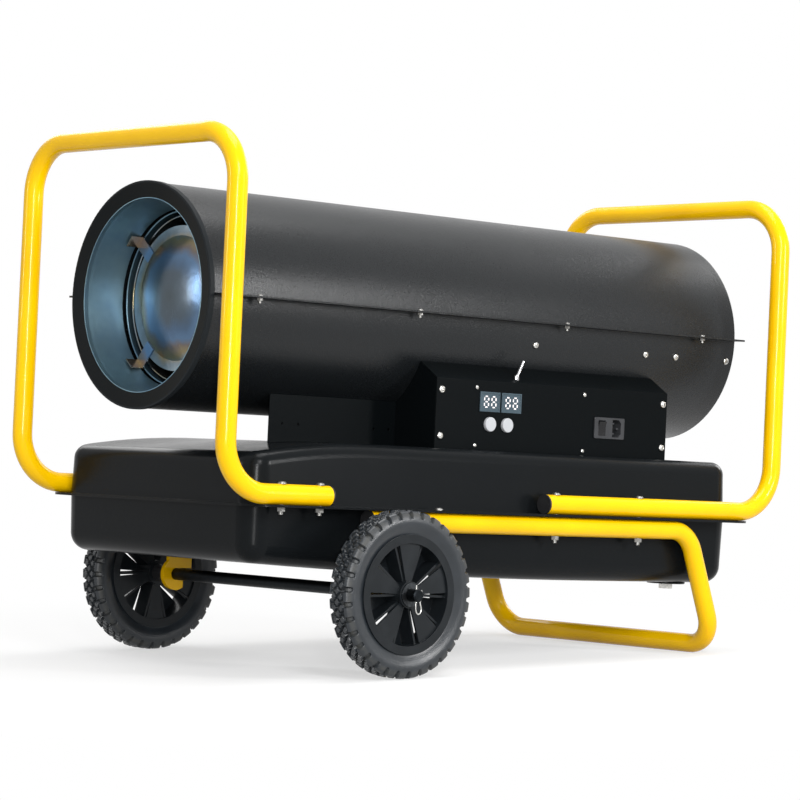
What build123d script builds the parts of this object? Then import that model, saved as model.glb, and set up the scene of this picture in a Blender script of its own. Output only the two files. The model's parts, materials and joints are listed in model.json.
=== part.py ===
# Diesel forced air heater: a black barrel over a pressed fuel tank, in a bent tube frame on two wheels.
# All lengths are millimetres. The heater is drawn level: X runs along the barrel from its mouth to its
# intake, -Y is the side with the controls, +Z is up, and the wheels stand at Z = 0. At the end every
# piece is leaned back by the small angle at which the wheels and the leg both meet the floor.

import os
from math import asin, atan, atan2, cos, degrees, hypot, radians, sin, sqrt, tan

from build123d import *

os.makedirs("parts", exist_ok=True)

# General clearances
overrun = 20.0
slip_gap = 0.2
running_gap = 0.05

# Barrel
barrel_radius = 144.5
barrel_length = 960.4
barrel_clearance = 32.5
skin = 1.2
seam_reach = 20.0
seam_start = 7.0
seam_screw_inset = 10.0
seam_first_share = 0.0743
seam_pitch_share = 0.2811
seam_screw_count = 4
fuel_hole_radius = 4.5

# Nose ring, outlet cone, air guide, combustion chamber and diffuser
nose_wall = 1.5
nose_lip = 6.0
nose_flat = 3.0
nose_dish = 2.0
nose_collar = 6.0
nose_width = 19.5
cone_wall = 1.0
cone_end = 57.0
cone_fall = 9.5
guide_start = 62.0
guide_end_share = 0.5831
guide_gap = 30.5
guide_wall = 1.0
bead_radius = 1.5
chamber_start = 68.0
chamber_end_share = 0.5706
chamber_gap = 5.5
chamber_wall = 1.2
chamber_mouth_radius = 46.0
disc_plane = 61.0
disc_gap = 14.5
disc_flat = 13.0
disc_rise = 14.0
disc_wall = 1.2
disc_rim = 8.0
tab_width = 17.0
tab_wall = 1.5
tab_leg = 15.0
tab_count = 4
tab_first_angle = 41
support_width = 20.0
support_wall = 1.5
support_foot = 12.0
support_count = 3
support_front = 110.0
support_rear_share = 0.5519

# Burner
head_radius = 45.0
head_wall = 1.2
head_flange_radius = 58.0
head_depth = 46.0
head_rim = 12.0
swirl_slot_count = 8
swirl_slot_length = 20.0
swirl_slot_width = 5.0
swirl_slot_place = 30.0
nozzle_radius = 8.0
nozzle_length = 44.0
nozzle_tip_radius = 3.0
nozzle_tip_length = 8.0
electrode_spread = 9.0
electrode_rise = 21.0
electrode_radius = 1.2
electrode_length = 84.0
insulator_radius = 4.0
insulator_length = 50.0
sensor_radius = 7.0
sensor_length = 34.0
sensor_drop = 26.0

# Motor, shaft, fan, pump and their bracket
motor_start_inset = 204.4
motor_end_inset = 98.4
motor_radius = 52.0
motor_bell_radius = 46.0
motor_bell_length = 16.0
motor_rib_count = 20
motor_rib_height = 3.0
motor_rib_width = 3.0
shaft_radius = 6.0
shaft_start_inset = 238.4
shaft_end_inset = 24.4
pump_length = 50.0
pump_radius = 31.0
pump_port_radius = 6.0
pump_port_length = 9.0
bracket_wall = 2.0
bracket_length = 88.0
bracket_drop = 24.0
bracket_tab = 24.0
fan_inset = 55.4
fan_depth = 34.0
fan_gap = 11.0
fan_hub_radius = 30.0
fan_hub_wall = 2.0
fan_collar_radius = 11.0
fan_blade_count = 5
fan_blade_wall = 1.6
fan_root_chord = 42.0
fan_tip_chord = 66.0
fan_root_pitch = 46
fan_tip_pitch = 24

# Rear guard
guard_inset = 4.0
guard_band = 16.0
guard_wall = 1.5
guard_ring_width = 3.0
guard_ring_count = 7
guard_hub_radius = 16.0
guard_spoke_count = 8
guard_spoke_width = 5.0

# Screws
shell_screw_radius = 2.5
shell_screw_head = 5.0
shell_screw_rise = 3.0
shell_screw_length = 9.0
shell_screw_angle = 12
shell_screw_shares = (0.589, 0.8122, 0.8762, 0.9855)
seam_screw_radius = 2.0
seam_screw_head = 3.8
seam_screw_rise = 2.6
seam_screw_length = 9.0
seam_nut_radius = 4.0
seam_nut_height = 3.2
hole_gap = 0.2

# Pressed fuel tank
tank_front = 36.0
tank_rear_inset = 51.4
tank_half_width = 200.0
tank_corner = 30.0
tank_upper_depth = 82.3
tank_bottom_rise = 16.5
tank_front_fall = 19.0
tank_ramp_end = 245.0
tank_keel_end = 640.0
tank_keel_rise = 16.5
tank_draft = 2
tank_top_round = 18.0
tank_bottom_round = 24.0
tank_wall = 1.5
flange_front_reach = 12.0
flange_rear_reach = 25.0
flange_side_reach = 31.0
flange_corner = 46.0
flange_rise = 104.7
filler_x = 630.4
filler_y = 145.0
filler_radius = 20.0
filler_wall = 2.0
filler_collar = 27.0
filler_collar_wall = 2.0
filler_depth = 26.0
filler_rise = 9.0
cap_radius = 26.0
cap_height = 20.0
cap_wall = 3.0
cap_grip_count = 18
cap_grip_radius = 2.5
drain_inset = 76.6
drain_y = -150.0
drain_plate_radius = 27.0
drain_plate_wall = 3.0
drain_thread_radius = 6.0
drain_thread_length = 10.0
drain_hex = 17.0
drain_hex_height = 7.0
pipe_inset = 29.0
pipe_radius = 3.0
pickup_plate_radius = 16.0
pickup_plate_wall = 3.0
pickup_clear = 14.0
strainer_radius = 9.0
strainer_length = 28.0

# Pedestal between the tank and the barrel
pedestal_front = 151.5
pedestal_box_front = 302.0
pedestal_rear_inset = 140.0
pedestal_half_width = 85.0
pedestal_wall = 1.5
pedestal_foot = 14.0
pedestal_hole_radius = 1.6
pedestal_hole_rise = 22.0
pedestal_hole_places = (173.4, 200.4, 330.4, 356.4)

# Control box
panel_reach = 20.5
panel_front = 367.2
panel_length = 436.6
panel_height = 92.8
slope_clear = 1.0
slope_rise = 21.2
box_wall = 1.5
box_flange = 17.0
cover_screw_radius = 2.5
cover_screw_head = 5.0
cover_screw_rise = 3.0
cover_screw_length = 8.0
cover_screw_inset = 8.6
cover_screw_low_rise = 16.3
cover_screw_high_drop = 15.4
board_screw_radius = 1.5
board_screw_head = 2.9
board_screw_rise = 1.6
board_start = 71.7
board_gap = 20.0
board_low_rise = 6.1
board_high_drop = 9.5
board_margin = 5.0
board_boss_radius = 3.2
board_wall = 1.6
board_stand_off = 9.0
relay_size = 18.0
relay_height = 16.0
relay_count = 3
display_width = 36.0
display_height = 26.5
display_rise = 1.6
display_start = 95.6
display_pitch = 39.4
display_drop = 27.8
display_bezel = 2.0
display_recess = 0.6
digit_height = 16.0
digit_width = 9.0
digit_stroke = 1.7
digit_pitch = 13.4
digit_wall = 0.5
button_start = 96.6
button_pitch = 31.5
button_drop = 29.8
button_radius = 9.6
button_gap = 0.3
button_rise = 4.0
button_flange = 1.4
button_flange_wall = 1.2
button_stem_radius = 3.0
button_travel = 2.0
button_crown = 1.0
inlet_width = 58.0
inlet_rear_inset = 85.4
inlet_low_rise = 25.0
inlet_height = 29.0
inlet_rise = 2.0
inlet_depth = 26.0
inlet_body_inset = 1.8
inlet_corner = 2.0
socket_inset = 15.0
socket_width = 16.5
socket_height = 24.0
socket_depth = 17.0
socket_chamfer = 4.5
pin_width = 2.0
pin_height = 4.0
pin_length = 14.0
pin_spread = 7.0
pin_offset = 4.0
rocker_inset = 14.5
rocker_width = 13.4
rocker_height = 19.0
rocker_gap = 0.3
rocker_radius = 13.0
rocker_depth = 9.0
rocker_rise = 1.2
rocker_tilt = 8
transformer_inset = 71.4
transformer_length = 60.0
transformer_depth = 50.0
transformer_height = 56.0
transformer_gap = 4.0
transformer_lug = 10.0
transformer_lug_wall = 3.0
probe_start = 151.8
probe_share = 0.294
probe_radius = 2.4
probe_length = 26.0
probe_lean = 27
probe_grommet_radius = 4.2
probe_grommet_height = 4.0

# Tube frame
tube_radius = 13.0
tube_wall = 1.5
frame_inset = 14.8
front_handle_reach = 21.3
rear_handle_reach = 10.4
front_handle_rise = 54.4
rear_handle_rise = 46.7
handle_bend = 65.0
front_foot_end = 145.0
rear_foot_inset = 384.6
front_bolts = (70.4, 132.4)
rear_bolt_insets = (364.6, 205.6)
leg_bolt_reach = 98.7
leg_tube_reach = 20.3
leg_corner_inset = 106.6
leg_bar_inset = 44.0
leg_bar_height = 36.8
leg_bend = 45.0
plug_wall = 2.5
plug_depth = 9.0
bolt_radius = 3.0
bolt_head_radius = 5.6
bolt_head_height = 3.4
bolt_end = 4.0
nut_radius = 5.6
nut_height = 5.0

# Axle, hooks and wheels
wheel_radius = 106.0
wheel_half_width = 20.0
wheel_offset = 44.6
axle_x = 234.7
axle_radius = 8.0
axle_overhang = 35.2
axle_chamfer = 1.5
hook_inset = 9.7
hook_wall = 6.0
hook_radius = 22.0
hook_front_reach = 13.0
hook_rear_reach = 26.0
hook_tip = 12.5
hook_gap = 0.15
clip_offset = 29.2
clip_wire = 1.0
clip_hole_gap = 0.3
clip_top = 13.0
clip_bottom = 24.0
clip_loop = 5.0
washer_radius = 15.0
washer_wall = 1.5
spacer_radius = 12.0
hub_radius = 17.0
hub_half_width = 18.5
tyre_height = 33.0
rim_ring_wall = 8.3
rim_lip_height = 2.8
rim_lip_wall = 2.0
rim_half_width = 17.0
panel_lap = 1.0
panel_wall = 3.0
panel_count = 5
panel_angle = 31
back_panel_angle = 26
rib_wall = 3.0
rib_angle = 20
tyre_bulge_drop = 16.0
tyre_shoulder_drop = 5.3
tyre_shoulder_half_width = 18.0
tyre_crown_half_width = 12.0
lug_count = 34
lug_depth = 9.0
groove_width = 5.5
groove_reach = 8.5

# Derived places: rings inside the barrel
inner_radius = barrel_radius - skin
nose_inner_radius = barrel_radius - nose_width
cone_end_radius = nose_inner_radius - cone_fall
guide_radius = barrel_radius - guide_gap
chamber_radius = guide_radius - chamber_gap
disc_radius = chamber_radius - disc_gap
fan_radius = barrel_radius - fan_gap

# Derived places: along the barrel
guide_end = barrel_length * guide_end_share
chamber_end = barrel_length * chamber_end_share
support_rear = barrel_length * support_rear_share
fan_plane = barrel_length - fan_inset
motor_start = barrel_length - motor_start_inset
motor_end = barrel_length - motor_end_inset
shaft_start = barrel_length - shaft_start_inset
shaft_end = barrel_length - shaft_end_inset
pump_start = motor_start - pump_length
pipe_x = pump_start + pipe_inset

# Derived places: heights from the floor up, and the tank
wheel_axis_height = wheel_radius
flange_height = wheel_axis_height + flange_rise
flange_top = flange_height + tank_wall
flange_under = flange_height - tank_wall
tank_top = flange_height + tank_upper_depth
tank_front_top = tank_top - tank_front_fall
tank_bottom = wheel_axis_height + tank_bottom_rise
axis_height = tank_top + barrel_clearance + barrel_radius
tank_rear = barrel_length - tank_rear_inset
flange_front = tank_front - flange_front_reach
flange_rear = tank_rear + flange_rear_reach
flange_half_width = tank_half_width + flange_side_reach
drain_x = tank_rear - drain_inset

# Derived places: pedestal and control box
pedestal_rear = barrel_length - pedestal_rear_inset
pedestal_hole_height = tank_top + pedestal_hole_rise
panel_rear = panel_front + panel_length
panel_top = tank_top + panel_height
slope_z = panel_top + slope_rise
panel_y = -(barrel_radius + panel_reach)
slope_y = -(sqrt(barrel_radius**2 - (axis_height - slope_z) ** 2) + slope_clear)
cover_screw_low = tank_top + cover_screw_low_rise
cover_screw_high = panel_top - cover_screw_high_drop
inlet_rear = panel_rear - inlet_rear_inset
inlet_front = inlet_rear - inlet_width
inlet_low = tank_top + inlet_low_rise
inlet_high = inlet_low + inlet_height
socket_x = inlet_rear - socket_inset
rocker_x = inlet_front + rocker_inset
board_front = panel_front + board_start
board_rear = inlet_front - board_gap
board_low = tank_top + board_low_rise
board_high = panel_top - board_high_drop
display_x = panel_front + display_start
display_z = panel_top - display_drop
button_x = panel_front + button_start
button_z = display_z - button_drop
transformer_x = panel_rear - transformer_inset
probe_x = panel_front + probe_start
probe_y = panel_y + probe_share * (slope_y - panel_y)

# Derived places: tube frame, axle and wheels
tube_bore = tube_radius - tube_wall
foot_height = flange_top + tube_radius
leg_tube_height = flange_under - tube_radius
frame_half_width = flange_half_width - frame_inset
front_handle_x = -front_handle_reach
rear_handle_x = barrel_length + rear_handle_reach
front_handle_top = axis_height + barrel_radius + front_handle_rise
rear_handle_top = axis_height + barrel_radius + rear_handle_rise
rear_foot_end = tank_rear - rear_foot_inset
rear_bolts = [tank_rear - inset for inset in rear_bolt_insets]
leg_bolt = axle_x + leg_bolt_reach
leg_tube_end = axle_x - leg_tube_reach
leg_corner_x = tank_rear - leg_corner_inset
leg_bar_x = tank_rear - leg_bar_inset
hook_y = frame_half_width - hook_inset
hook_front = axle_x - hook_front_reach
hook_rear = axle_x + hook_rear_reach
wheel_y = frame_half_width + wheel_offset
axle_half_length = wheel_y + axle_overhang
clip_y = wheel_y + clip_offset
rim_seat_radius = wheel_radius - tyre_height
rim_lip_radius = rim_seat_radius + rim_lip_height
rim_inner_radius = rim_seat_radius - rim_ring_wall
panel_outer_radius = rim_inner_radius + panel_lap
tyre_bulge_radius = wheel_radius - tyre_bulge_drop
tyre_shoulder_radius = wheel_radius - tyre_shoulder_drop

barrel_axis = Axis((0, 0, axis_height), (1, 0, 0))
barrel_section = Plane(origin=(0, 0, axis_height), x_dir=(1, 0, 0), z_dir=(0, -1, 0))


def station(x, turn=0):
    """Plane across the barrel at x: its own x runs along Y, or is turned up from Y by some degrees."""
    across = (0, cos(radians(turn)), sin(radians(turn)))
    return Plane(origin=(x, 0, axis_height), x_dir=across, z_dir=(1, 0, 0))


def cross_section(x):
    """Plane across the heater at x: its own x runs along Y, its own y is the height."""
    return Plane(origin=(x, 0, 0), x_dir=(0, 1, 0), z_dir=(1, 0, 0))


def side_view(y):
    """Plane along the heater at y: its own x runs along X, its own y is the height, and it faces -Y."""
    return Plane(origin=(0, y, 0), x_dir=(1, 0, 0), z_dir=(0, -1, 0))


def plan(z):
    """Level plane at height z."""
    return Plane.XY.offset(z)


# The lean: the floor touches the wheels and the leg's cross bar at once
leg_run = leg_bar_x - axle_x
leg_drop = wheel_axis_height - leg_bar_height
lean = degrees(asin((wheel_radius - tube_radius) / hypot(leg_run, leg_drop)) - atan2(leg_drop, leg_run))
leaned_axle = Vector(axle_x, 0, wheel_axis_height).rotate(Axis.Y, lean)
finished = {}


def finish(piece, name):
    """Name a finished piece and keep it for standing on the floor."""
    piece.part.label = name
    finished[name] = piece.part


# Barrel skin
def seam_places():
    """Places of the seam screws along X and on both sides of the barrel."""
    side = barrel_radius + seam_screw_inset
    return [
        (barrel_length * (seam_first_share + seam_pitch_share * turn), side * way)
        for turn in range(seam_screw_count)
        for way in (-1, 1)
    ]


def shell_screw_planes():
    """Planes on the skin's outside, below the seam, one for each shell screw, facing outwards."""
    planes = []
    for share in shell_screw_shares:
        for way in (-1, 1):
            out = Vector(0, way * cos(radians(shell_screw_angle)), -sin(radians(shell_screw_angle)))
            origin = Vector(barrel_length * share, 0, axis_height) + out * barrel_radius
            planes.append(Plane(origin=origin, x_dir=(1, 0, 0), z_dir=out))
    return planes


def barrel_half(up):
    """One half of the skin with its two seam flanges; up is 1 for the upper half and -1 for the lower."""
    keep = Align.MAX if up > 0 else Align.MIN
    lie = Align.MIN if up > 0 else Align.MAX
    with BuildPart() as half:
        with BuildSketch(station(0)):
            Circle(barrel_radius)
            Circle(inner_radius, mode=Mode.SUBTRACT)
            Rectangle(
                2 * barrel_radius + overrun,
                barrel_radius + overrun,
                align=(Align.CENTER, keep),
                mode=Mode.SUBTRACT,
            )
        extrude(amount=barrel_length)
        with BuildSketch(station(seam_start)):
            for way in (-1, 1):
                with Locations((way * (barrel_radius + (seam_reach - skin) / 2), 0)):
                    Rectangle(seam_reach + skin, skin, align=(Align.CENTER, lie))
        extrude(amount=barrel_length - seam_start)
        with BuildSketch(plan(axis_height)):
            with Locations(*seam_places()):
                Circle(seam_screw_radius + hole_gap)
        extrude(amount=2 * skin, both=True, mode=Mode.SUBTRACT)
        if up < 0:
            for plane in shell_screw_planes():
                with BuildSketch(plane):
                    Circle(shell_screw_radius + hole_gap)
                extrude(amount=2 * skin, both=True, mode=Mode.SUBTRACT)
            with BuildSketch(plan(axis_height - barrel_radius)):
                with Locations((pipe_x, 0)):
                    Circle(fuel_hole_radius)
            extrude(amount=2 * skin, both=True, mode=Mode.SUBTRACT)
    return half


upper_shell = barrel_half(1)
finish(upper_shell, "upper_shell")
lower_shell = barrel_half(-1)
finish(lower_shell, "lower_shell")

# Nose ring: a rolled lip over the skin's front edge, then a shallow dish down to the outlet cone
lip_inner = barrel_radius + slip_gap
lip_outer = lip_inner + nose_wall
with BuildPart() as nose_ring:
    with BuildSketch(barrel_section) as nose_profile:
        with BuildLine():
            Polyline(
                (nose_lip, lip_inner),
                (nose_lip, lip_outer),
                (-nose_wall, lip_outer),
                (-nose_wall, lip_outer - nose_flat),
                (nose_dish, nose_inner_radius),
                (nose_dish + nose_collar, nose_inner_radius),
                (nose_dish + nose_collar, nose_inner_radius + nose_wall),
                (nose_dish + nose_wall, nose_inner_radius + nose_wall),
                (0, lip_outer - nose_flat),
                (0, lip_inner),
                close=True,
            )
        make_face()
        outer_corner = nose_profile.vertices().group_by(Axis.X)[0].sort_by(Axis.Y)[-1]
        fillet(outer_corner, nose_wall / 2)
    revolve(axis=barrel_axis)
finish(nose_ring, "nose_ring")

# Outlet cone: bright sheet inside the nose ring's collar, narrowing towards the chamber
cone_front_radius = nose_inner_radius - slip_gap
with BuildPart() as outlet_cone:
    with BuildSketch(barrel_section):
        with BuildLine():
            Polyline(
                (nose_dish, cone_front_radius),
                (nose_dish + nose_collar, cone_front_radius),
                (cone_end, cone_end_radius),
                (cone_end, cone_end_radius - cone_wall),
                (nose_dish + nose_collar, cone_front_radius - cone_wall),
                (nose_dish, cone_front_radius - cone_wall),
                close=True,
            )
        make_face()
    revolve(axis=barrel_axis)
finish(outlet_cone, "outlet_cone")


def rolled_cylinder(start, end, radius, wall, back_radius):
    """Sheet cylinder round the barrel's axis with a rolled front rim; back_radius opens a rear plate."""
    with BuildPart() as cylinder:
        with BuildSketch(barrel_section):
            with Locations(((start + bead_radius + end) / 2, radius - wall / 2)):
                Rectangle(end - start - bead_radius, wall)
            with Locations((start + bead_radius, radius - wall / 2)):
                Circle(bead_radius)
            if back_radius:
                with Locations((end - wall / 2, (back_radius + radius - wall / 2) / 2)):
                    Rectangle(wall, radius - wall / 2 - back_radius)
        revolve(axis=barrel_axis)
    return cylinder


air_guide = rolled_cylinder(guide_start, guide_end, guide_radius, guide_wall, 0)
finish(air_guide, "air_guide")

chamber = rolled_cylinder(chamber_start, chamber_end, chamber_radius, chamber_wall, chamber_mouth_radius)
finish(chamber, "combustion_chamber")

# Diffuser disc: flat rim, domed middle and a short skirt turned back into the chamber
dome_radius = disc_radius - disc_flat
with BuildPart() as diffuser_disc:
    with BuildSketch(barrel_section):
        with BuildLine():
            rim = Polyline(
                (disc_plane, dome_radius),
                (disc_plane, disc_radius),
                (disc_plane + disc_rim, disc_radius),
                (disc_plane + disc_rim, disc_radius - disc_wall),
                (disc_plane + disc_wall, disc_radius - disc_wall),
                (disc_plane + disc_wall, dome_radius),
            )
            back_pole = (disc_plane + disc_wall - disc_rise, 0)
            front_pole = (disc_plane - disc_rise, 0)
            TangentArc(back_pole, rim @ 1, tangent=(0, 1))
            Line(back_pole, front_pole)
            TangentArc(front_pole, rim @ 0, tangent=(0, 1))
        make_face()
    revolve(axis=barrel_axis)
finish(diffuser_disc, "diffuser_disc")

# Diffuser tabs: each lies on the disc's rim and turns forward along the inside of the outlet cone
tab_top = sqrt((cone_end_radius - cone_wall - slip_gap) ** 2 - (tab_width / 2) ** 2)
with BuildPart() as diffuser_tabs:
    for turn in range(tab_count):
        angle = tab_first_angle + 360 * turn / tab_count
        with BuildSketch(station(disc_plane, angle)):
            with Locations(((dome_radius + tab_top) / 2, 0)):
                Rectangle(tab_top - dome_radius, tab_width)
        extrude(amount=-tab_wall)
        with BuildSketch(station(disc_plane - tab_wall, angle)):
            with Locations((tab_top - tab_wall / 2, 0)):
                Rectangle(tab_wall, tab_width)
        extrude(amount=-(disc_plane - tab_wall - cone_end + tab_leg))
finish(diffuser_tabs, "diffuser_tabs")

# Supports between the air guide and the skin: three brackets at the front and three at the rear
with BuildPart() as chamber_supports:
    for x in (support_front, support_rear):
        for turn in range(support_count):
            angle = 90 + 360 * turn / support_count
            with BuildSketch(station(x, angle)):
                inner = guide_radius + slip_gap
                outer = inner_radius - slip_gap
                with Locations(((inner + outer) / 2, 0)):
                    Rectangle(outer - inner, support_wall)
                with Locations((inner + support_wall / 2, support_foot / 2)):
                    Rectangle(support_wall, support_foot)
                with Locations((outer - support_wall / 2, -support_foot / 2)):
                    Rectangle(support_wall, support_foot)
            extrude(amount=support_width / 2, both=True)
    with BuildSketch(station(0)):
        Circle(inner_radius + overrun)
        Circle(inner_radius - slip_gap, mode=Mode.SUBTRACT)
    extrude(amount=barrel_length, mode=Mode.SUBTRACT)
finish(chamber_supports, "chamber_supports")

# Burner head: a cup in the chamber's rear mouth, with a slotted swirl plate in front and a flange behind
head_back = chamber_end + head_wall
head_front = head_back - head_depth
with BuildPart() as burner_head:
    with BuildSketch(barrel_section):
        with Locations(((head_front + head_back) / 2, head_radius - head_wall / 2)):
            Rectangle(head_depth, head_wall)
        with Locations((head_back - head_wall / 2, (head_radius + head_flange_radius) / 2 - head_wall)):
            Rectangle(head_wall, head_flange_radius - head_radius + 2 * head_wall)
        with Locations((head_front + head_wall / 2, (nozzle_radius + head_radius) / 2)):
            Rectangle(head_wall, head_radius - nozzle_radius)
    revolve(axis=barrel_axis)
    with BuildSketch(station(head_front)):
        with PolarLocations(swirl_slot_place, swirl_slot_count, start_angle=180 / swirl_slot_count):
            SlotOverall(swirl_slot_length, swirl_slot_width, rotation=35)
        with Locations((-electrode_spread, electrode_rise), (electrode_spread, electrode_rise)):
            Circle(electrode_radius + hole_gap)
    extrude(amount=head_rim, both=True, mode=Mode.SUBTRACT)
    # A strap across the cup carries the nozzle, the electrodes and the flame sensor
    with BuildSketch(station(head_back - head_wall)):
        with Locations((0, 0)):
            Rectangle(2 * (nozzle_radius + head_rim), 2 * head_radius)
        Circle(nozzle_radius + running_gap, mode=Mode.SUBTRACT)
        with Locations((-electrode_spread, electrode_rise), (electrode_spread, electrode_rise)):
            Circle(insulator_radius + running_gap, mode=Mode.SUBTRACT)
        with Locations((0, -sensor_drop)):
            Circle(sensor_radius + running_gap, mode=Mode.SUBTRACT)
    extrude(amount=head_wall)
finish(burner_head, "burner_head")

# Nozzle with its hexagon and tip, fed from behind
nozzle_back = head_back + nozzle_length / 2
nozzle_front = nozzle_back - nozzle_length
with BuildPart() as nozzle:
    with BuildSketch(station(nozzle_front)):
        Circle(nozzle_radius)
    extrude(amount=nozzle_length)
    with BuildSketch(station(head_back)):
        RegularPolygon(nozzle_radius + nozzle_tip_radius, 6)
    extrude(amount=nozzle_tip_length)
    with BuildSketch(station(nozzle_front)):
        Circle(nozzle_radius - nozzle_tip_radius / 2)
    extrude(amount=-nozzle_tip_length, taper=20)
    with BuildSketch(station(nozzle_back)):
        Circle(pipe_radius + slip_gap)
    extrude(amount=-nozzle_tip_length, mode=Mode.SUBTRACT)
finish(nozzle, "nozzle")

# Ignition electrodes: two ceramic insulators with their rods, bent tips left straight
with BuildPart() as electrodes:
    with BuildSketch(station(head_front + head_wall + head_rim)):
        with Locations((-electrode_spread, electrode_rise), (electrode_spread, electrode_rise)):
            Circle(insulator_radius)
    extrude(amount=insulator_length)
    with BuildSketch(station(head_front - head_rim)):
        with Locations((-electrode_spread, electrode_rise), (electrode_spread, electrode_rise)):
            Circle(electrode_radius)
    extrude(amount=electrode_length)
finish(electrodes, "ignition_electrodes")

# Flame sensor, looking through the swirl plate
with BuildPart() as flame_sensor:
    with BuildSketch(station(head_front + head_wall + head_rim)):
        with Locations((0, -sensor_drop)):
            Circle(sensor_radius)
    extrude(amount=head_depth)
    fillet(flame_sensor.faces().sort_by(Axis.X)[0].edges(), sensor_radius / 3)
finish(flame_sensor, "flame_sensor")

# Motor: ribbed body between two smaller end bells, bored for its shaft
with BuildPart() as motor_body:
    with BuildSketch(barrel_section):
        with BuildLine():
            Polyline(
                (motor_start, shaft_radius + running_gap),
                (motor_start, motor_bell_radius),
                (motor_start + motor_bell_length, motor_bell_radius),
                (motor_start + motor_bell_length, motor_radius - motor_rib_height),
                (motor_end - motor_bell_length, motor_radius - motor_rib_height),
                (motor_end - motor_bell_length, motor_bell_radius),
                (motor_end, motor_bell_radius),
                (motor_end, shaft_radius + running_gap),
                close=True,
            )
        make_face()
    revolve(axis=barrel_axis)
    fillet(motor_body.faces().sort_by(Axis.X)[0].edges().sort_by(SortBy.RADIUS)[-1], motor_rib_height)
    fillet(motor_body.faces().sort_by(Axis.X)[-1].edges().sort_by(SortBy.RADIUS)[-1], motor_rib_height)
    with BuildSketch(station(motor_start + motor_bell_length)):
        with PolarLocations(motor_radius - motor_rib_height, motor_rib_count):
            Rectangle(2 * motor_rib_height, motor_rib_width)
    extrude(amount=motor_end - motor_start - 2 * motor_bell_length)
finish(motor_body, "motor_body")

with BuildPart() as motor_shaft:
    with BuildSketch(station(shaft_start)):
        Circle(shaft_radius)
    extrude(amount=shaft_end - shaft_start)
    chamfer(motor_shaft.edges().filter_by(GeomType.CIRCLE), shaft_radius / 8)
finish(motor_shaft, "motor_shaft")

# Motor bracket: a cradle under the motor, with wings out to the skin and tabs down along it
bracket_start = (motor_start + motor_end - bracket_length) / 2
bracket_inner = motor_radius + slip_gap
wing_height = -bracket_drop
with BuildPart() as motor_bracket:
    with BuildSketch(station(bracket_start)):
        with BuildSketch(mode=Mode.PRIVATE) as cradle:
            Circle(bracket_inner + motor_rib_height + bracket_wall)
            Circle(bracket_inner + motor_rib_height, mode=Mode.SUBTRACT)
            with Locations((0, wing_height)):
                Rectangle(
                    2 * barrel_radius,
                    2 * barrel_radius,
                    align=(Align.CENTER, Align.MIN),
                    mode=Mode.SUBTRACT,
                )
        add(cradle.sketch)
        with BuildSketch(mode=Mode.PRIVATE) as wings:
            with Locations((0, wing_height)):
                Rectangle(2 * barrel_radius, bracket_wall, align=(Align.CENTER, Align.MAX))
            Circle(bracket_inner + motor_rib_height, mode=Mode.SUBTRACT)
        add(wings.sketch)
        with BuildSketch(mode=Mode.PRIVATE) as tabs:
            Circle(inner_radius - slip_gap)
            Circle(inner_radius - slip_gap - bracket_wall, mode=Mode.SUBTRACT)
            with Locations((0, wing_height)):
                Rectangle(
                    2 * barrel_radius,
                    bracket_tab,
                    align=(Align.CENTER, Align.MAX),
                    mode=Mode.INTERSECT,
                )
        add(tabs.sketch)
        with BuildSketch(mode=Mode.PRIVATE) as bore:
            Circle(inner_radius - slip_gap)
        add(bore.sketch, mode=Mode.INTERSECT)
    extrude(amount=bracket_length)
    for plane in shell_screw_planes():
        with BuildSketch(plane):
            Circle(shell_screw_radius + hole_gap)
        extrude(amount=-shell_screw_length - skin, mode=Mode.SUBTRACT)
finish(motor_bracket, "motor_bracket")

# Fuel pump on the motor's front, with its port on the axis and another underneath
with BuildPart() as fuel_pump:
    with BuildSketch(station(pump_start)):
        Circle(pump_radius)
    extrude(amount=pump_length - slip_gap)
    fillet(fuel_pump.edges().filter_by(GeomType.CIRCLE).sort_by(Axis.X)[0], pump_port_radius / 3)
    with BuildSketch(station(pump_start)):
        Circle(pump_port_radius)
    extrude(amount=-pump_port_length)
    with BuildSketch(plan(axis_height - pump_radius - pump_port_length)):
        with Locations((pipe_x, 0)):
            Circle(pump_port_radius)
    extrude(amount=pump_radius)
    with BuildSketch(station(shaft_start - running_gap)):
        Circle(shaft_radius + running_gap)
    extrude(amount=pump_length, mode=Mode.SUBTRACT)
finish(fuel_pump, "fuel_pump")


# Fan: a pressed hub cup with a collar on the shaft and twisted blades
def blade_section(radius, chord, pitch):
    """Plane and size of a blade's section at one radius, turned by its pitch about the radius."""
    face = Plane(origin=(fan_plane, 0, axis_height + radius), x_dir=(1, 0, 0), z_dir=(0, 0, 1))
    return face.rotated((0, 0, 90 - pitch)), chord


root_plane, root_chord = blade_section(fan_hub_radius - fan_hub_wall / 2, fan_root_chord, fan_root_pitch)
tip_plane, tip_chord = blade_section(fan_radius, fan_tip_chord, fan_tip_pitch)
with BuildPart() as blade:
    with BuildSketch(root_plane):
        Rectangle(fan_blade_wall, root_chord)
    with BuildSketch(tip_plane):
        Rectangle(fan_blade_wall, tip_chord)
    loft()
    with BuildSketch(station(fan_plane)):
        Circle(fan_radius)
    extrude(amount=fan_tip_chord, both=True, mode=Mode.INTERSECT)

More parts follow.
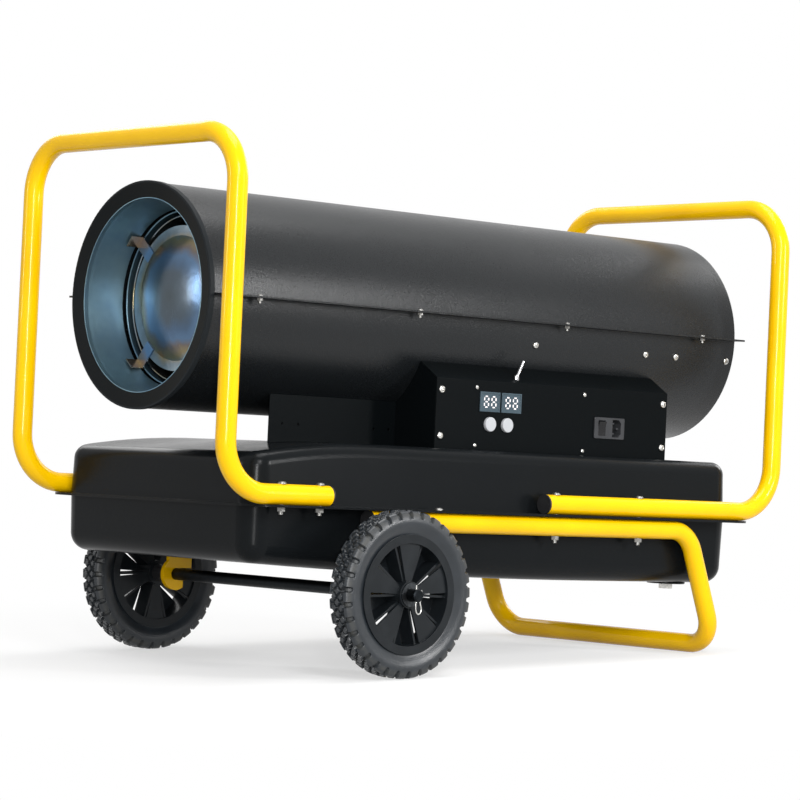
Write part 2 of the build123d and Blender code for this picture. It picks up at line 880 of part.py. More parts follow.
with BuildPart() as fan:
    with BuildSketch(barrel_section):
        with BuildLine():
            half_depth = fan_depth / 2
            Polyline(
                (fan_plane - half_depth, fan_collar_radius),
                (fan_plane - half_depth, shaft_radius + running_gap / 2),
                (fan_plane + half_depth, shaft_radius + running_gap / 2),
                (fan_plane + half_depth, fan_hub_radius),
                (fan_plane - half_depth, fan_hub_radius),
                (fan_plane - half_depth, fan_hub_radius - fan_hub_wall),
                (fan_plane + half_depth - fan_hub_wall, fan_hub_radius - fan_hub_wall),
                (fan_plane + half_depth - fan_hub_wall, fan_collar_radius),
                close=True,
            )
        make_face()
    revolve(axis=barrel_axis)
    for turn in range(fan_blade_count):
        add(blade.part.rotate(barrel_axis, 360 * turn / fan_blade_count))
finish(fan, "fan")

# Rear guard: a band inside the skin, and a plate pressed into rings and spokes
guard_plane = barrel_length - guard_inset
guard_radius = inner_radius - slip_gap
ring_pitch = (guard_radius - guard_hub_radius) / guard_ring_count
with BuildPart() as rear_guard:
    with BuildSketch(station(guard_plane)):
        Circle(guard_radius)
        Circle(guard_radius - guard_wall, mode=Mode.SUBTRACT)
    extrude(amount=-guard_band)
    with BuildSketch(station(guard_plane)):
        for ring in range(guard_ring_count):
            outer = guard_radius - ring * ring_pitch
            with BuildSketch(mode=Mode.PRIVATE) as hoop:
                Circle(outer)
                Circle(outer - guard_ring_width, mode=Mode.SUBTRACT)
            add(hoop.sketch)
        Circle(guard_hub_radius)
        with PolarLocations(0, guard_spoke_count):
            Rectangle(guard_radius - guard_wall, guard_spoke_width, align=(Align.MIN, Align.CENTER))
    extrude(amount=-guard_wall)
    for plane in shell_screw_planes():
        with BuildSketch(plane):
            Circle(shell_screw_radius + hole_gap)
        extrude(amount=-shell_screw_length - skin, mode=Mode.SUBTRACT)
finish(rear_guard, "rear_guard")

# Shell screws: pan heads on the skin below the seam
with BuildPart() as shell_screws:
    for plane in shell_screw_planes():
        with BuildSketch(plane):
            Circle(shell_screw_head)
        extrude(amount=shell_screw_rise, taper=18)
        with BuildSketch(plane):
            Circle(shell_screw_radius)
        extrude(amount=-shell_screw_length)
finish(shell_screws, "shell_screws")

# Seam screws from above and their nuts below
with BuildPart() as seam_screws:
    with BuildSketch(plan(axis_height + skin)):
        with Locations(*seam_places()):
            Circle(seam_screw_head)
    extrude(amount=seam_screw_rise, taper=15)
    with BuildSketch(plan(axis_height + skin)):
        with Locations(*seam_places()):
            Circle(seam_screw_radius)
    extrude(amount=-seam_screw_length)
finish(seam_screws, "seam_screws")

with BuildPart() as seam_nuts:
    with BuildSketch(plan(axis_height - skin)):
        with Locations(*seam_places()):
            RegularPolygon(seam_nut_radius, 6)
        with Locations(*seam_places()):
            Circle(seam_screw_radius + running_gap, mode=Mode.SUBTRACT)
    extrude(amount=-seam_nut_height)
finish(seam_nuts, "seam_nuts")


# Fuel tank
tank_middle = (tank_front + tank_rear) / 2
flange_middle = (flange_front + flange_rear) / 2


def tank_bend(up, inset):
    """Start, radius and sweep of the soft arc towards the tank's front, on its top or its bottom."""
    end = tank_ramp_end if up > 0 else tank_keel_end
    level = tank_top if up > 0 else tank_bottom
    rise = tank_front_fall if up > 0 else tank_keel_rise
    run = end - tank_front
    radius = (run**2 + rise**2) / (2 * rise)
    return (end, level - up * inset), radius + inset, up * degrees(asin((run + overrun) / radius))


def tank_form(up, inset):
    """Solid form of one pressed half, drawn in from the tank's outside by inset on every wall."""
    height = (tank_top - flange_height) if up > 0 else (flange_height - tank_bottom)
    with BuildPart() as form:
        with BuildSketch(plan(flange_height)):
            with Locations((tank_middle, 0)):
                RectangleRounded(
                    tank_rear - tank_front - 2 * inset,
                    2 * (tank_half_width - inset),
                    tank_corner - inset,
                )
        extrude(amount=height - inset, dir=(0, 0, up), taper=tank_draft)
        # Both pressed faces bend towards the tank's front in one soft arc
        start, radius, turn = tank_bend(up, inset)
        with BuildSketch(side_view(0)):
            with BuildLine():
                ramp = JernArc(start, (-1, 0), radius, turn)
                Polyline(
                    ramp @ 1,
                    ((ramp @ 1).X, start[1] + up * overrun),
                    (tank_rear + overrun, start[1] + up * overrun),
                    (tank_rear + overrun, start[1]),
                    ramp @ 0,
                )
            make_face()
        extrude(amount=tank_half_width + overrun, both=True, mode=Mode.SUBTRACT)
        # The rounded edge runs all round the pressed face, but not across the ramp's own soft bend
        level = flange_height + up * height / 2
        far = [e for e in form.edges() if up * (e.bounding_box().min.Z - level) > 0]
        far = [e for e in far if up * (e.bounding_box().max.Z - level) > 0]
        rim = [
            e
            for e in far
            if not (
                abs(e.center().Y) < tank_corner
                and tank_front + tank_corner < e.center().X < tank_rear - tank_corner
            )
        ]
        fillet(rim, (tank_top_round if up > 0 else tank_bottom_round) - inset)
    return form


def tank_half(up):
    """One pressed half of the tank with its flat flange."""
    outer_form = tank_form(up, 0)
    inner_form = tank_form(up, tank_wall)
    with BuildPart() as half:
        with BuildSketch(plan(flange_height)):
            with Locations((flange_middle, 0)):
                RectangleRounded(flange_rear - flange_front, 2 * flange_half_width, flange_corner)
        extrude(amount=tank_wall, dir=(0, 0, up))
        add(outer_form.part)
        add(inner_form.part, mode=Mode.SUBTRACT)
        with BuildSketch(plan(flange_height)):
            for way in (-1, 1):
                with Locations(*[(x, way * frame_half_width) for x in (*front_bolts, *rear_bolts, leg_bolt)]):
                    Circle(bolt_radius + hole_gap)
        extrude(amount=2 * tank_wall, both=True, mode=Mode.SUBTRACT)
        if up > 0:
            with BuildSketch(plan(tank_top)):
                with Locations((filler_x, filler_y)):
                    Circle(filler_radius + slip_gap)
                with Locations((pipe_x, 0)):
                    Circle(strainer_radius + hole_gap)
        else:
            with BuildSketch(plan(tank_bottom)):
                with Locations((drain_x, drain_y)):
                    Circle(drain_thread_radius + hole_gap)
        extrude(amount=2 * tank_wall, both=True, mode=Mode.SUBTRACT)
    return half


tank_upper = tank_half(1)
finish(tank_upper, "tank_upper")
tank_lower = tank_half(-1)
finish(tank_lower, "tank_lower")

# Filler neck through the tank's top, behind the barrel, and its cap
filler_axis = Axis((filler_x, filler_y, 0), (0, 0, 1))
neck_top = tank_top + filler_collar_wall + filler_rise
with BuildPart() as filler_neck:
    with BuildSketch(plan(tank_top - filler_depth)):
        with Locations((filler_x, filler_y)):
            Circle(filler_radius)
            Circle(filler_radius - filler_wall, mode=Mode.SUBTRACT)
    extrude(amount=neck_top - tank_top + filler_depth)
    with BuildSketch(plan(tank_top)):
        with Locations((filler_x, filler_y)):
            Circle(filler_collar)
            Circle(filler_radius - filler_wall, mode=Mode.SUBTRACT)
    extrude(amount=filler_collar_wall)
finish(filler_neck, "filler_neck")

cap_low = tank_top + filler_collar_wall + button_gap
cap_roof = neck_top + button_gap
with BuildPart() as fuel_cap:
    with BuildSketch(plan(cap_low)):
        with Locations((filler_x, filler_y)):
            Circle(cap_radius)
            with PolarLocations(cap_radius, cap_grip_count):
                Circle(cap_grip_radius, mode=Mode.SUBTRACT)
    extrude(amount=cap_height)
    with BuildSketch(plan(cap_low)):
        with Locations((filler_x, filler_y)):
            Circle(filler_radius + button_gap)
    extrude(amount=cap_roof - cap_low, mode=Mode.SUBTRACT)
    with BuildSketch(plan(cap_low + cap_height)):
        with Locations((filler_x, filler_y)):
            Rectangle(2 * cap_radius - 4 * cap_grip_radius, cap_wall * 2)
    extrude(amount=cap_wall, taper=8)
finish(fuel_cap, "fuel_cap")

# Drain boss and plug under the tank
with BuildPart() as drain_plate:
    with BuildSketch(plan(tank_bottom)):
        with Locations((drain_x, drain_y)):
            Circle(drain_plate_radius)
            Circle(drain_thread_radius + hole_gap, mode=Mode.SUBTRACT)
    extrude(amount=-drain_plate_wall)
    chamfer(drain_plate.edges().filter_by(GeomType.CIRCLE).sort_by(Axis.Z)[0:2].sort_by(SortBy.RADIUS)[-1],
            drain_plate_wall / 3)
finish(drain_plate, "drain_plate")

with BuildPart() as drain_plug:
    with BuildSketch(plan(tank_bottom - drain_plate_wall)):
        with Locations((drain_x, drain_y)):
            RegularPolygon(drain_hex / 2, 6, major_radius=False)
    extrude(amount=-drain_hex_height)
    with BuildSketch(plan(tank_bottom - drain_plate_wall)):
        with Locations((drain_x, drain_y)):
            Circle(drain_thread_radius)
    extrude(amount=drain_thread_length)
finish(drain_plug, "drain_plug")

# Pickup: a plate on the tank, a pipe down and a strainer near the bottom
strainer_low = tank_bottom + pickup_clear
with BuildPart() as fuel_pickup:
    with BuildSketch(plan(tank_top)):
        with Locations((pipe_x, 0)):
            Circle(pickup_plate_radius)
    extrude(amount=pickup_plate_wall)
    with BuildSketch(plan(strainer_low)):
        with Locations((pipe_x, 0)):
            Circle(pipe_radius)
    extrude(amount=tank_top - strainer_low)
    with BuildSketch(plan(strainer_low)):
        with Locations((pipe_x, 0)):
            Circle(strainer_radius)
    extrude(amount=strainer_length)
    fillet(fuel_pickup.edges().filter_by(GeomType.CIRCLE).sort_by(Axis.Z)[0], strainer_radius / 4)
finish(fuel_pickup, "fuel_pickup")

# Fuel pipes: one up from the pickup to the pump, one forward from the pump to the nozzle
pipe_low = tank_top + pickup_plate_wall
pipe_high = axis_height - pump_radius - pump_port_length
with BuildPart() as fuel_pipes:
    with BuildSketch(plan(pipe_low)):
        with Locations((pipe_x, 0)):
            Circle(pipe_radius)
    extrude(amount=pipe_high - pipe_low)
    with BuildSketch(station(pump_start - pump_port_length)):
        Circle(pipe_radius)
    extrude(amount=-(pump_start - pump_port_length - nozzle_back + nozzle_tip_length - slip_gap))
finish(fuel_pipes, "fuel_pipes")

# Pedestal: a sheet box from the tank's top up to the barrel, with its feet turned inwards; its near wall
# runs on towards the mouth as a plain plate
tank_outside = tank_form(1, 0)
with BuildPart() as pedestal:
    pedestal_length = pedestal_rear - pedestal_box_front
    pedestal_middle = (pedestal_rear + pedestal_box_front) / 2
    rise = axis_height - sqrt(barrel_radius**2 - pedestal_half_width**2) - tank_front_top
    with BuildSketch(plan(tank_front_top)):
        with Locations((pedestal_middle, 0)):
            Rectangle(pedestal_length, 2 * pedestal_half_width)
            Rectangle(
                pedestal_length - 2 * pedestal_wall,
                2 * (pedestal_half_width - pedestal_wall),
                mode=Mode.SUBTRACT,
            )
        with Locations((pedestal_front, -pedestal_half_width)):
            Rectangle(pedestal_rear - pedestal_front, pedestal_wall, align=(Align.MIN, Align.MIN))
    extrude(amount=rise + skin)
    with BuildSketch(plan(tank_top)):
        with Locations((pedestal_middle, 0)):
            Rectangle(pedestal_length, 2 * pedestal_half_width)
            Rectangle(
                pedestal_length - 2 * pedestal_foot,
                2 * (pedestal_half_width - pedestal_foot),
                mode=Mode.SUBTRACT,
            )
    extrude(amount=pedestal_wall)
    with BuildSketch(station(0)):
        Circle(barrel_radius + slip_gap)
    extrude(amount=barrel_length, mode=Mode.SUBTRACT)
    # The tank's top falls away under the plate's front end, so the plate reaches down to it
    add(tank_outside.part, mode=Mode.SUBTRACT)
    with BuildSketch(side_view(0)):
        with Locations(*[(x, pedestal_hole_height) for x in pedestal_hole_places]):
            Circle(pedestal_hole_radius)
    extrude(amount=pedestal_half_width + overrun, both=True, mode=Mode.SUBTRACT)
finish(pedestal, "pedestal")

# Control box: floor, two end plates cut to the barrel, and flanges behind the cover
box_back = -pedestal_half_width - slip_gap
box_front_face = panel_y + box_wall
slope_angle = atan2(slope_z - panel_top, slope_y - panel_y)
corner_drop = box_wall * tan(slope_angle / 2) + slip_gap
with BuildPart() as control_box:
    box_outline = (
        (box_front_face, tank_top),
        (box_front_face, panel_top - corner_drop),
        (slope_y + box_wall, slope_z - box_wall),
        (box_back, slope_z - box_wall),
        (box_back, tank_top),
    )
    with BuildSketch(cross_section(panel_front)):
        with BuildLine():
            Polyline(*box_outline, close=True)
        make_face()
    extrude(amount=panel_rear - panel_front)
    with BuildSketch(cross_section(panel_front + box_wall)):
        with BuildLine():
            Polyline(*box_outline, close=True)
        make_face()
        with Locations((0, tank_top)):
            Rectangle(
                2 * barrel_radius + 2 * overrun,
                box_wall,
                align=(Align.CENTER, Align.MIN),
                mode=Mode.SUBTRACT,
            )
    extrude(amount=panel_rear - panel_front - 2 * box_wall, mode=Mode.SUBTRACT)
    # Upright flanges behind the cover take its four screws
    with BuildSketch(side_view(box_front_face)):
        for edge, side in ((panel_front, Align.MIN), (panel_rear, Align.MAX)):
            with Locations((edge, tank_top)):
                Rectangle(box_flange, panel_top - corner_drop - tank_top, align=(side, Align.MIN))
    extrude(amount=-box_wall)
    with BuildSketch(station(0)):
        Circle(barrel_radius + slip_gap)
    extrude(amount=barrel_length, mode=Mode.SUBTRACT)
    cover_screw_places = [
        (x, z)
        for x in (panel_front + cover_screw_inset, panel_rear - cover_screw_inset)
        for z in (cover_screw_low, cover_screw_high)
    ]
    with BuildSketch(side_view(panel_y)):
        with Locations(*cover_screw_places):
            Circle(cover_screw_radius + hole_gap)
    extrude(amount=-4 * box_wall, mode=Mode.SUBTRACT)
finish(control_box, "control_box")

# Cover: one bent sheet, the upright panel and the slope up to the barrel
button_places = [(button_x + button_pitch * turn, button_z) for turn in range(2)]
display_places = [(display_x + display_pitch * turn, display_z) for turn in range(2)]
board_screw_places = [(x, z) for x in (board_front, board_rear) for z in (board_low, board_high)]
inlet_centre = ((inlet_front + inlet_rear) / 2, (inlet_low + inlet_high) / 2)
with BuildPart() as control_cover:
    with BuildSketch(cross_section(panel_front)):
        with BuildLine():
            Polyline(
                (panel_y, tank_top),
                (panel_y, panel_top),
                (slope_y, slope_z),
                (slope_y, slope_z - box_wall / cos(slope_angle)),
                (box_front_face, panel_top - box_wall * tan(slope_angle / 2)),
                (box_front_face, tank_top),
                close=True,
            )
        make_face()
    extrude(amount=panel_rear - panel_front)
    with BuildSketch(station(0)):
        Circle(barrel_radius + slip_gap)
    extrude(amount=barrel_length, mode=Mode.SUBTRACT)
    with BuildSketch(side_view(panel_y)):
        with Locations(*display_places):
            Rectangle(display_width - 2 * display_bezel, display_height - 2 * display_bezel)
        with Locations(*button_places):
            Circle(button_radius + button_gap)
        with Locations(*board_screw_places):
            Circle(board_screw_radius + hole_gap)
        with Locations(*cover_screw_places):
            Circle(cover_screw_radius + hole_gap)
        with Locations(inlet_centre):
            Rectangle(
                inlet_rear - inlet_front - 2 * inlet_body_inset + 2 * slip_gap,
                inlet_high - inlet_low - 2 * inlet_body_inset + 2 * slip_gap,
            )
    extrude(amount=-2 * box_wall, mode=Mode.SUBTRACT)
    with BuildSketch(plan(slope_z + overrun)):
        with Locations((probe_x, probe_y)):
            Circle(probe_radius + hole_gap)
    extrude(amount=-2 * overrun - slope_z + panel_top, mode=Mode.SUBTRACT)
finish(control_cover, "control_cover")

with BuildPart() as cover_screws:
    with BuildSketch(side_view(panel_y)):
        with Locations(*cover_screw_places):
            Circle(cover_screw_head)
    extrude(amount=cover_screw_rise, taper=18)
    with BuildSketch(side_view(panel_y)):
        with Locations(*cover_screw_places):
            Circle(cover_screw_radius)
    extrude(amount=-cover_screw_length)
finish(cover_screws, "cover_screws")

# Circuit board on its stand-offs behind the panel, with its relays
board_face = box_front_face + board_stand_off
with BuildPart() as circuit_board:
    board_centre = ((board_front + board_rear) / 2, (board_low + board_high) / 2)
    with BuildSketch(side_view(board_face)):
        with Locations(board_centre):
            Rectangle(board_rear - board_front + 2 * board_margin, board_high - board_low)
        with Locations(*board_screw_places):
            Circle(board_boss_radius)
    extrude(amount=-board_wall)
    with BuildSketch(side_view(board_face)):
        with Locations(*board_screw_places):
            Circle(board_boss_radius)
    extrude(amount=board_stand_off)
    with BuildSketch(side_view(panel_y)):
        with Locations(*board_screw_places):
            Circle(board_screw_radius + running_gap)
    extrude(amount=-board_stand_off - box_wall, mode=Mode.SUBTRACT)
    with BuildSketch(side_view(board_face + board_wall)):
        with Locations(*[(button_x + relay_size * 2 * turn, display_z) for turn in range(relay_count)]):
            Rectangle(relay_size, relay_size)
    extrude(amount=-relay_height)
finish(circuit_board, "circuit_board")

with BuildPart() as board_screws:
    with BuildSketch(side_view(panel_y)):
        with Locations(*board_screw_places):
            Circle(board_screw_head)
    extrude(amount=board_screw_rise, taper=20)
    with BuildSketch(side_view(panel_y)):
        with Locations(*board_screw_places):
            Circle(board_screw_radius)
    extrude(amount=-board_stand_off)
finish(board_screws, "board_screws")

# Displays: a bezel proud of the panel, and a body back to the board
with BuildPart() as displays:
    with BuildSketch(side_view(panel_y)):
        with Locations(*display_places):
            Rectangle(display_width, display_height)
    extrude(amount=display_rise)
    with BuildSketch(side_view(panel_y)):
        with Locations(*display_places):
            Rectangle(
                display_width - 2 * display_bezel - 2 * slip_gap,
                display_height - 2 * display_bezel - 2 * slip_gap,
            )
    extrude(amount=-(board_face - panel_y))
    with BuildSketch(side_view(panel_y - display_rise)):
        with Locations(*display_places):
            Rectangle(display_width - 2 * display_bezel, display_height - 2 * display_bezel)
    extrude(amount=-display_recess, mode=Mode.SUBTRACT)
finish(displays, "displays")


def seven_segments(x, z):
    """Places and sizes of the seven bars of one digit, centred on x and z."""
    half_w = (digit_width - digit_stroke) / 2
    quarter = (digit_height - digit_stroke) / 4
    flat = digit_width - 3 * digit_stroke
    upright = 2 * quarter - 2 * digit_stroke
    bars = [(x, z + 2 * quarter * row, flat, digit_stroke) for row in (-1, 0, 1)]
    bars += [(x + half_w * way, z + quarter * row, digit_stroke, upright) for way in (-1, 1) for row in (-1, 1)]
    return bars


# Digits: seven pale bars each, two digits in each display
with BuildPart() as display_digits:
    with BuildSketch(side_view(panel_y - display_rise + display_recess)):
        for centre_x, centre_z in display_places:
            for way in (-1, 1):
                for x, z, width, height in seven_segments(centre_x + way * digit_pitch / 2, centre_z):
                    with Locations((x, z)):
                        Rectangle(width, height)
    extrude(amount=digit_wall)
finish(display_digits, "display_digits")


def push_button(turn):
    """Round button with a crowned cap, a flange behind the panel and a stem towards the board."""
    with BuildPart() as button:
        with BuildSketch(side_view(box_front_face + button_gap)):
            with Locations(button_places[turn]):
                Circle(button_radius)
        extrude(amount=box_wall + button_gap + button_rise)
        fillet(button.faces().sort_by(Axis.Y)[0].edges(), button_crown)
        with BuildSketch(side_view(box_front_face + button_gap)):
            with Locations(button_places[turn]):
                Circle(button_radius + button_flange)
        extrude(amount=-button_flange_wall)
        with BuildSketch(side_view(box_front_face + button_gap)):
            with Locations(button_places[turn]):
                Circle(button_stem_radius)
        extrude(amount=-(board_stand_off - button_travel - 2 * button_gap))
    return button


button_left = push_button(0)
finish(button_left, "button_left")
button_right = push_button(1)
finish(button_right, "button_right")

# Power inlet: a face plate over the panel, a window for the rocker and a recess with three pins
rocker_centre = (rocker_x, inlet_centre[1])
socket_centre = (socket_x, inlet_centre[1])
inlet_face = panel_y - inlet_rise
with BuildPart() as power_inlet:
    with BuildSketch(side_view(panel_y)):
        with Locations(inlet_centre):
            RectangleRounded(inlet_rear - inlet_front, inlet_high - inlet_low, inlet_corner)
    extrude(amount=inlet_rise)
    with BuildSketch(side_view(panel_y)):
        with Locations(inlet_centre):
            Rectangle(
                inlet_rear - inlet_front - 2 * inlet_body_inset,
                inlet_high - inlet_low - 2 * inlet_body_inset,
            )
    extrude(amount=-inlet_depth)
    with BuildSketch(side_view(inlet_face)) as socket_mouth:
        with Locations(socket_centre):
            Rectangle(socket_width, socket_height)
        chamfer(socket_mouth.vertices().sort_by(Axis.X)[-2:], socket_chamfer)
    extrude(amount=-socket_depth, mode=Mode.SUBTRACT)
    # The rocker's window leaves room for its corners as it tilts
    rocker_sweep = rocker_height * cos(radians(rocker_tilt))
    rocker_sweep += (rocker_depth + 2 * rocker_rise) * sin(radians(rocker_tilt))
    with BuildSketch(side_view(inlet_face)):
        with Locations(rocker_centre):
            Rectangle(rocker_width + 2 * rocker_gap, rocker_sweep + 2 * rocker_gap)
    extrude(amount=-socket_depth, mode=Mode.SUBTRACT)
    with BuildSketch(side_view(inlet_face + socket_depth)):
        with Locations(
            (socket_x - pin_offset, socket_centre[1] + pin_spread),
            (socket_x - pin_offset, socket_centre[1] - pin_spread),
            (socket_x + pin_offset, socket_centre[1]),
        ):
            Rectangle(pin_height, pin_width)
    extrude(amount=pin_length)
finish(power_inlet, "power_inlet")

# Rocker: a barrel-backed key on a cross pivot, resting with its lower end pressed in
rocker_pivot = Axis((rocker_x, inlet_face + rocker_depth / 2, rocker_centre[1]), (1, 0, 0))
with BuildPart() as rocker_switch:
    with BuildSketch(cross_section(rocker_x - rocker_width / 2)):
        with BuildLine():
            half = rocker_height / 2
            face_y = inlet_face - rocker_rise
            key = Polyline(
                (face_y, rocker_centre[1] + half),
                (face_y + rocker_depth / 2, rocker_centre[1] + half),
                (face_y + rocker_depth, rocker_centre[1] + half / 2),
                (face_y + rocker_depth, rocker_centre[1] - half / 2),
                (face_y + rocker_depth / 2, rocker_centre[1] - half),
                (face_y, rocker_centre[1] - half),
            )
            ThreePointArc(key @ 1, (face_y + rocker_rise, rocker_centre[1]), key @ 0)
        make_face()
    extrude(amount=rocker_width)
rocker_switch.part = rocker_switch.part.rotate(rocker_pivot, rocker_tilt)
finish(rocker_switch, "rocker_switch")

# Ignition transformer on the box's floor, with its lugs
floor_top = tank_top + box_wall
with BuildPart() as transformer:
    middle_y = (box_front_face + box_back) / 2
    with BuildSketch(plan(floor_top)):
        with Locations((transformer_x + transformer_length / 2, middle_y)):
            RectangleRounded(transformer_length, transformer_depth, transformer_gap)
    extrude(amount=transformer_height)
    with BuildSketch(plan(floor_top)):
        with Locations((transformer_x + transformer_length / 2, middle_y)):
            Rectangle(transformer_length, transformer_depth + 2 * transformer_lug)
    extrude(amount=transformer_lug_wall)
finish(transformer, "ignition_transformer")

# Thermostat probe: a metal capsule leaning in a grommet on the cover's slope
probe_foot_z = panel_top + (probe_y - panel_y) * tan(slope_angle)
probe_plane = Plane(
    origin=(probe_x, probe_y, probe_foot_z),
    x_dir=(cos(radians(probe_lean)), 0, -sin(radians(probe_lean))),
    z_dir=(sin(radians(probe_lean)), 0, cos(radians(probe_lean))),
)
with BuildPart() as probe:
    with BuildSketch(probe_plane.offset(probe_grommet_height / 2)):
        Circle(probe_radius)
    extrude(amount=probe_length)
    fillet(probe.edges().filter_by(GeomType.CIRCLE).sort_by(Axis.Z)[-1], probe_radius * 3 / 4)
    with BuildSketch(plan(probe_foot_z)):
        with Locations((probe_x, probe_y)):
            Circle(probe_grommet_radius)
    extrude(amount=probe_grommet_height, both=True)
    # Its foot lies on the slope
    with BuildSketch(cross_section(probe_x - overrun)):
        with BuildLine():
            Polyline(
                (panel_y, panel_top),
                (slope_y, slope_z),
                (slope_y, slope_z - overrun),
                (panel_y, panel_top - overrun),
                close=True,
            )
        make_face()
    extrude(amount=2 * overrun, mode=Mode.SUBTRACT)
finish(probe, "thermostat_probe")


# Tube frame
def bent_tube(points, radius):
    """Hollow tube along a path of straight runs joined by bends of one radius."""
    with BuildPart() as tube:
        with BuildLine() as path:
            FilletPolyline(*points, radius=radius)
        with BuildSketch(Plane(origin=path.line @ 0, z_dir=path.line % 0)):
            Circle(tube_radius)
            Circle(tube_bore, mode=Mode.SUBTRACT)
        sweep(path=path.line)
    return tube


def handle_points(foot_end, post_x, top):
    """Corners of a handle: foot, post, top bar, post, foot."""
    return [
        (foot_end, -frame_half_width, foot_height),
        (post_x, -frame_half_width, foot_height),
        (post_x, -frame_half_width, top),
        (post_x, frame_half_width, top),
        (post_x, frame_half_width, foot_height),
        (foot_end, frame_half_width, foot_height),
    ]


def drill_frame(tube, places):
    """The tube with its upright bolt holes."""
    with BuildPart() as drilled:
        add(tube.part)
        with BuildSketch(plan(leg_tube_height - tube_radius - overrun)):
            with Locations(*[(x, way * frame_half_width) for x in places for way in (-1, 1)]):
                Circle(bolt_radius + hole_gap)
        extrude(amount=foot_height - leg_tube_height + 2 * tube_radius + 2 * overrun, mode=Mode.SUBTRACT)
    return drilled


front_points = handle_points(front_foot_end, front_handle_x, front_handle_top)
front_handle = drill_frame(bent_tube(front_points, handle_bend), front_bolts)
finish(front_handle, "front_handle")
rear_points = handle_points(rear_foot_end, rear_handle_x, rear_handle_top)
rear_handle = drill_frame(bent_tube(rear_points, handle_bend), rear_bolts)
finish(rear_handle, "rear_handle")

# Leg frame with its two axle hooks
leg_points = [
    (leg_tube_end, -frame_half_width, leg_tube_height),
    (leg_corner_x, -frame_half_width, leg_tube_height),
    (leg_bar_x, -frame_half_width, leg_bar_height),
    (leg_bar_x, frame_half_width, leg_bar_height),
    (leg_corner_x, frame_half_width, leg_tube_height),
    (leg_tube_end, frame_half_width, leg_tube_height),
]
leg_tube = drill_frame(bent_tube(leg_points, leg_bend), (*rear_bolts, leg_bolt))
with BuildPart() as leg_frame:
    add(leg_tube.part)
    for way in (-1, 1):
        with BuildSketch(side_view(way * hook_y)):
            with Locations((axle_x, wheel_axis_height)):
                Circle(hook_radius)
            with Locations(((hook_front + hook_rear) / 2, wheel_axis_height)):
                Rectangle(
                    hook_rear - hook_front,
                    leg_tube_height - wheel_axis_height,
                    align=(Align.CENTER, Align.MIN),
                )
            with Locations((axle_x, wheel_axis_height)):
                Circle(axle_radius + hook_gap, mode=Mode.SUBTRACT)
                Rectangle(
                    hook_radius + overrun,
                    2 * (axle_radius + hook_gap),
                    align=(Align.MIN, Align.CENTER),
                    mode=Mode.SUBTRACT,
                )
            with Locations((axle_x + hook_tip, wheel_axis_height)):
                Rectangle(overrun, hook_radius, align=(Align.MIN, Align.MAX), mode=Mode.SUBTRACT)
        extrude(amount=hook_wall / 2, both=True)
    # The hooks' plates stop at the tube's wall
    with BuildSketch(cross_section(leg_tube_end)):
        for way in (-1, 1):
            with Locations((way * frame_half_width, leg_tube_height)):
                Circle(tube_bore)
    extrude(amount=leg_corner_x - leg_tube_end - leg_bend, mode=Mode.SUBTRACT)
finish(leg_frame, "leg_frame")


# Plugs in the open tube ends: a flat cap and a spigot in the bore
plug_ends = [
    (front_foot_end, foot_height, 1),
    (rear_foot_end, foot_height, -1),
    (leg_tube_end, leg_tube_height, -1),
]
with BuildPart() as tube_plugs:
    for x, z, way in plug_ends:
        with BuildSketch(cross_section(x)):
            with Locations(*[(side * frame_half_width, z) for side in (-1, 1)]):
                Circle(tube_radius)
        extrude(amount=way * plug_wall)
        with BuildSketch(cross_section(x)):
            with Locations(*[(side * frame_half_width, z) for side in (-1, 1)]):
                Circle(tube_bore - slip_gap)
        extrude(amount=-way * plug_depth)
finish(tube_plugs, "tube_plugs")

# Frame bolts: through foot, flange and, at the rear, the leg tube; a short one holds the leg's front
bolt_stacks = [(x, foot_height + tube_radius, flange_under) for x in front_bolts]
bolt_stacks += [(x, foot_height + tube_radius, leg_tube_height - tube_radius) for x in rear_bolts]
bolt_stacks += [(leg_bolt, flange_top, leg_tube_height - tube_radius)]
with BuildPart() as frame_bolts:
    for x, head_z, nut_z in bolt_stacks:
        spots = [(x, way * frame_half_width) for way in (-1, 1)]
        with BuildSketch(plan(head_z)):
            with Locations(*spots):
                Circle(bolt_head_radius)
        extrude(amount=bolt_head_height, taper=20)
        with BuildSketch(plan(head_z)):
            with Locations(*spots):
                Circle(bolt_radius)
        extrude(amount=-(head_z - nut_z + nut_height + bolt_end))
finish(frame_bolts, "frame_bolts")

with BuildPart() as frame_nuts:
    for x, head_z, nut_z in bolt_stacks:
        spots = [(x, way * frame_half_width) for way in (-1, 1)]
        with BuildSketch(plan(nut_z)):
            with Locations(*spots):
                RegularPolygon(nut_radius, 6)
            with Locations(*spots):
                Circle(bolt_radius + running_gap, mode=Mode.SUBTRACT)
        extrude(amount=-nut_height)
finish(frame_nuts, "frame_nuts")

# Axle with a cross hole for a clip near each end
with BuildPart() as axle:
    with BuildSketch(side_view(0)):
        with Locations((axle_x, wheel_axis_height)):
            Circle(axle_radius)
    extrude(amount=axle_half_length, both=True)
    chamfer(axle.edges().filter_by(GeomType.CIRCLE), axle_chamfer)
    with BuildSketch(plan(wheel_axis_height)):
        with Locations((axle_x, -clip_y), (axle_x, clip_y)):
            Circle(clip_wire + clip_hole_gap)
    extrude(amount=2 * axle_radius, both=True, mode=Mode.SUBTRACT)
finish(axle, "axle")


def axle_rings(inner_y, outer_y, radius):
    """Rings round the axle between two places along it, one on each side of the heater."""
    with BuildPart() as rings:
        for way in (-1, 1):
            with BuildSketch(side_view(way * inner_y)):
                with Locations((axle_x, wheel_axis_height)):
                    Circle(radius)
                    Circle(axle_radius + slip_gap, mode=Mode.SUBTRACT)
            extrude(amount=-way * (outer_y - inner_y))
    return rings


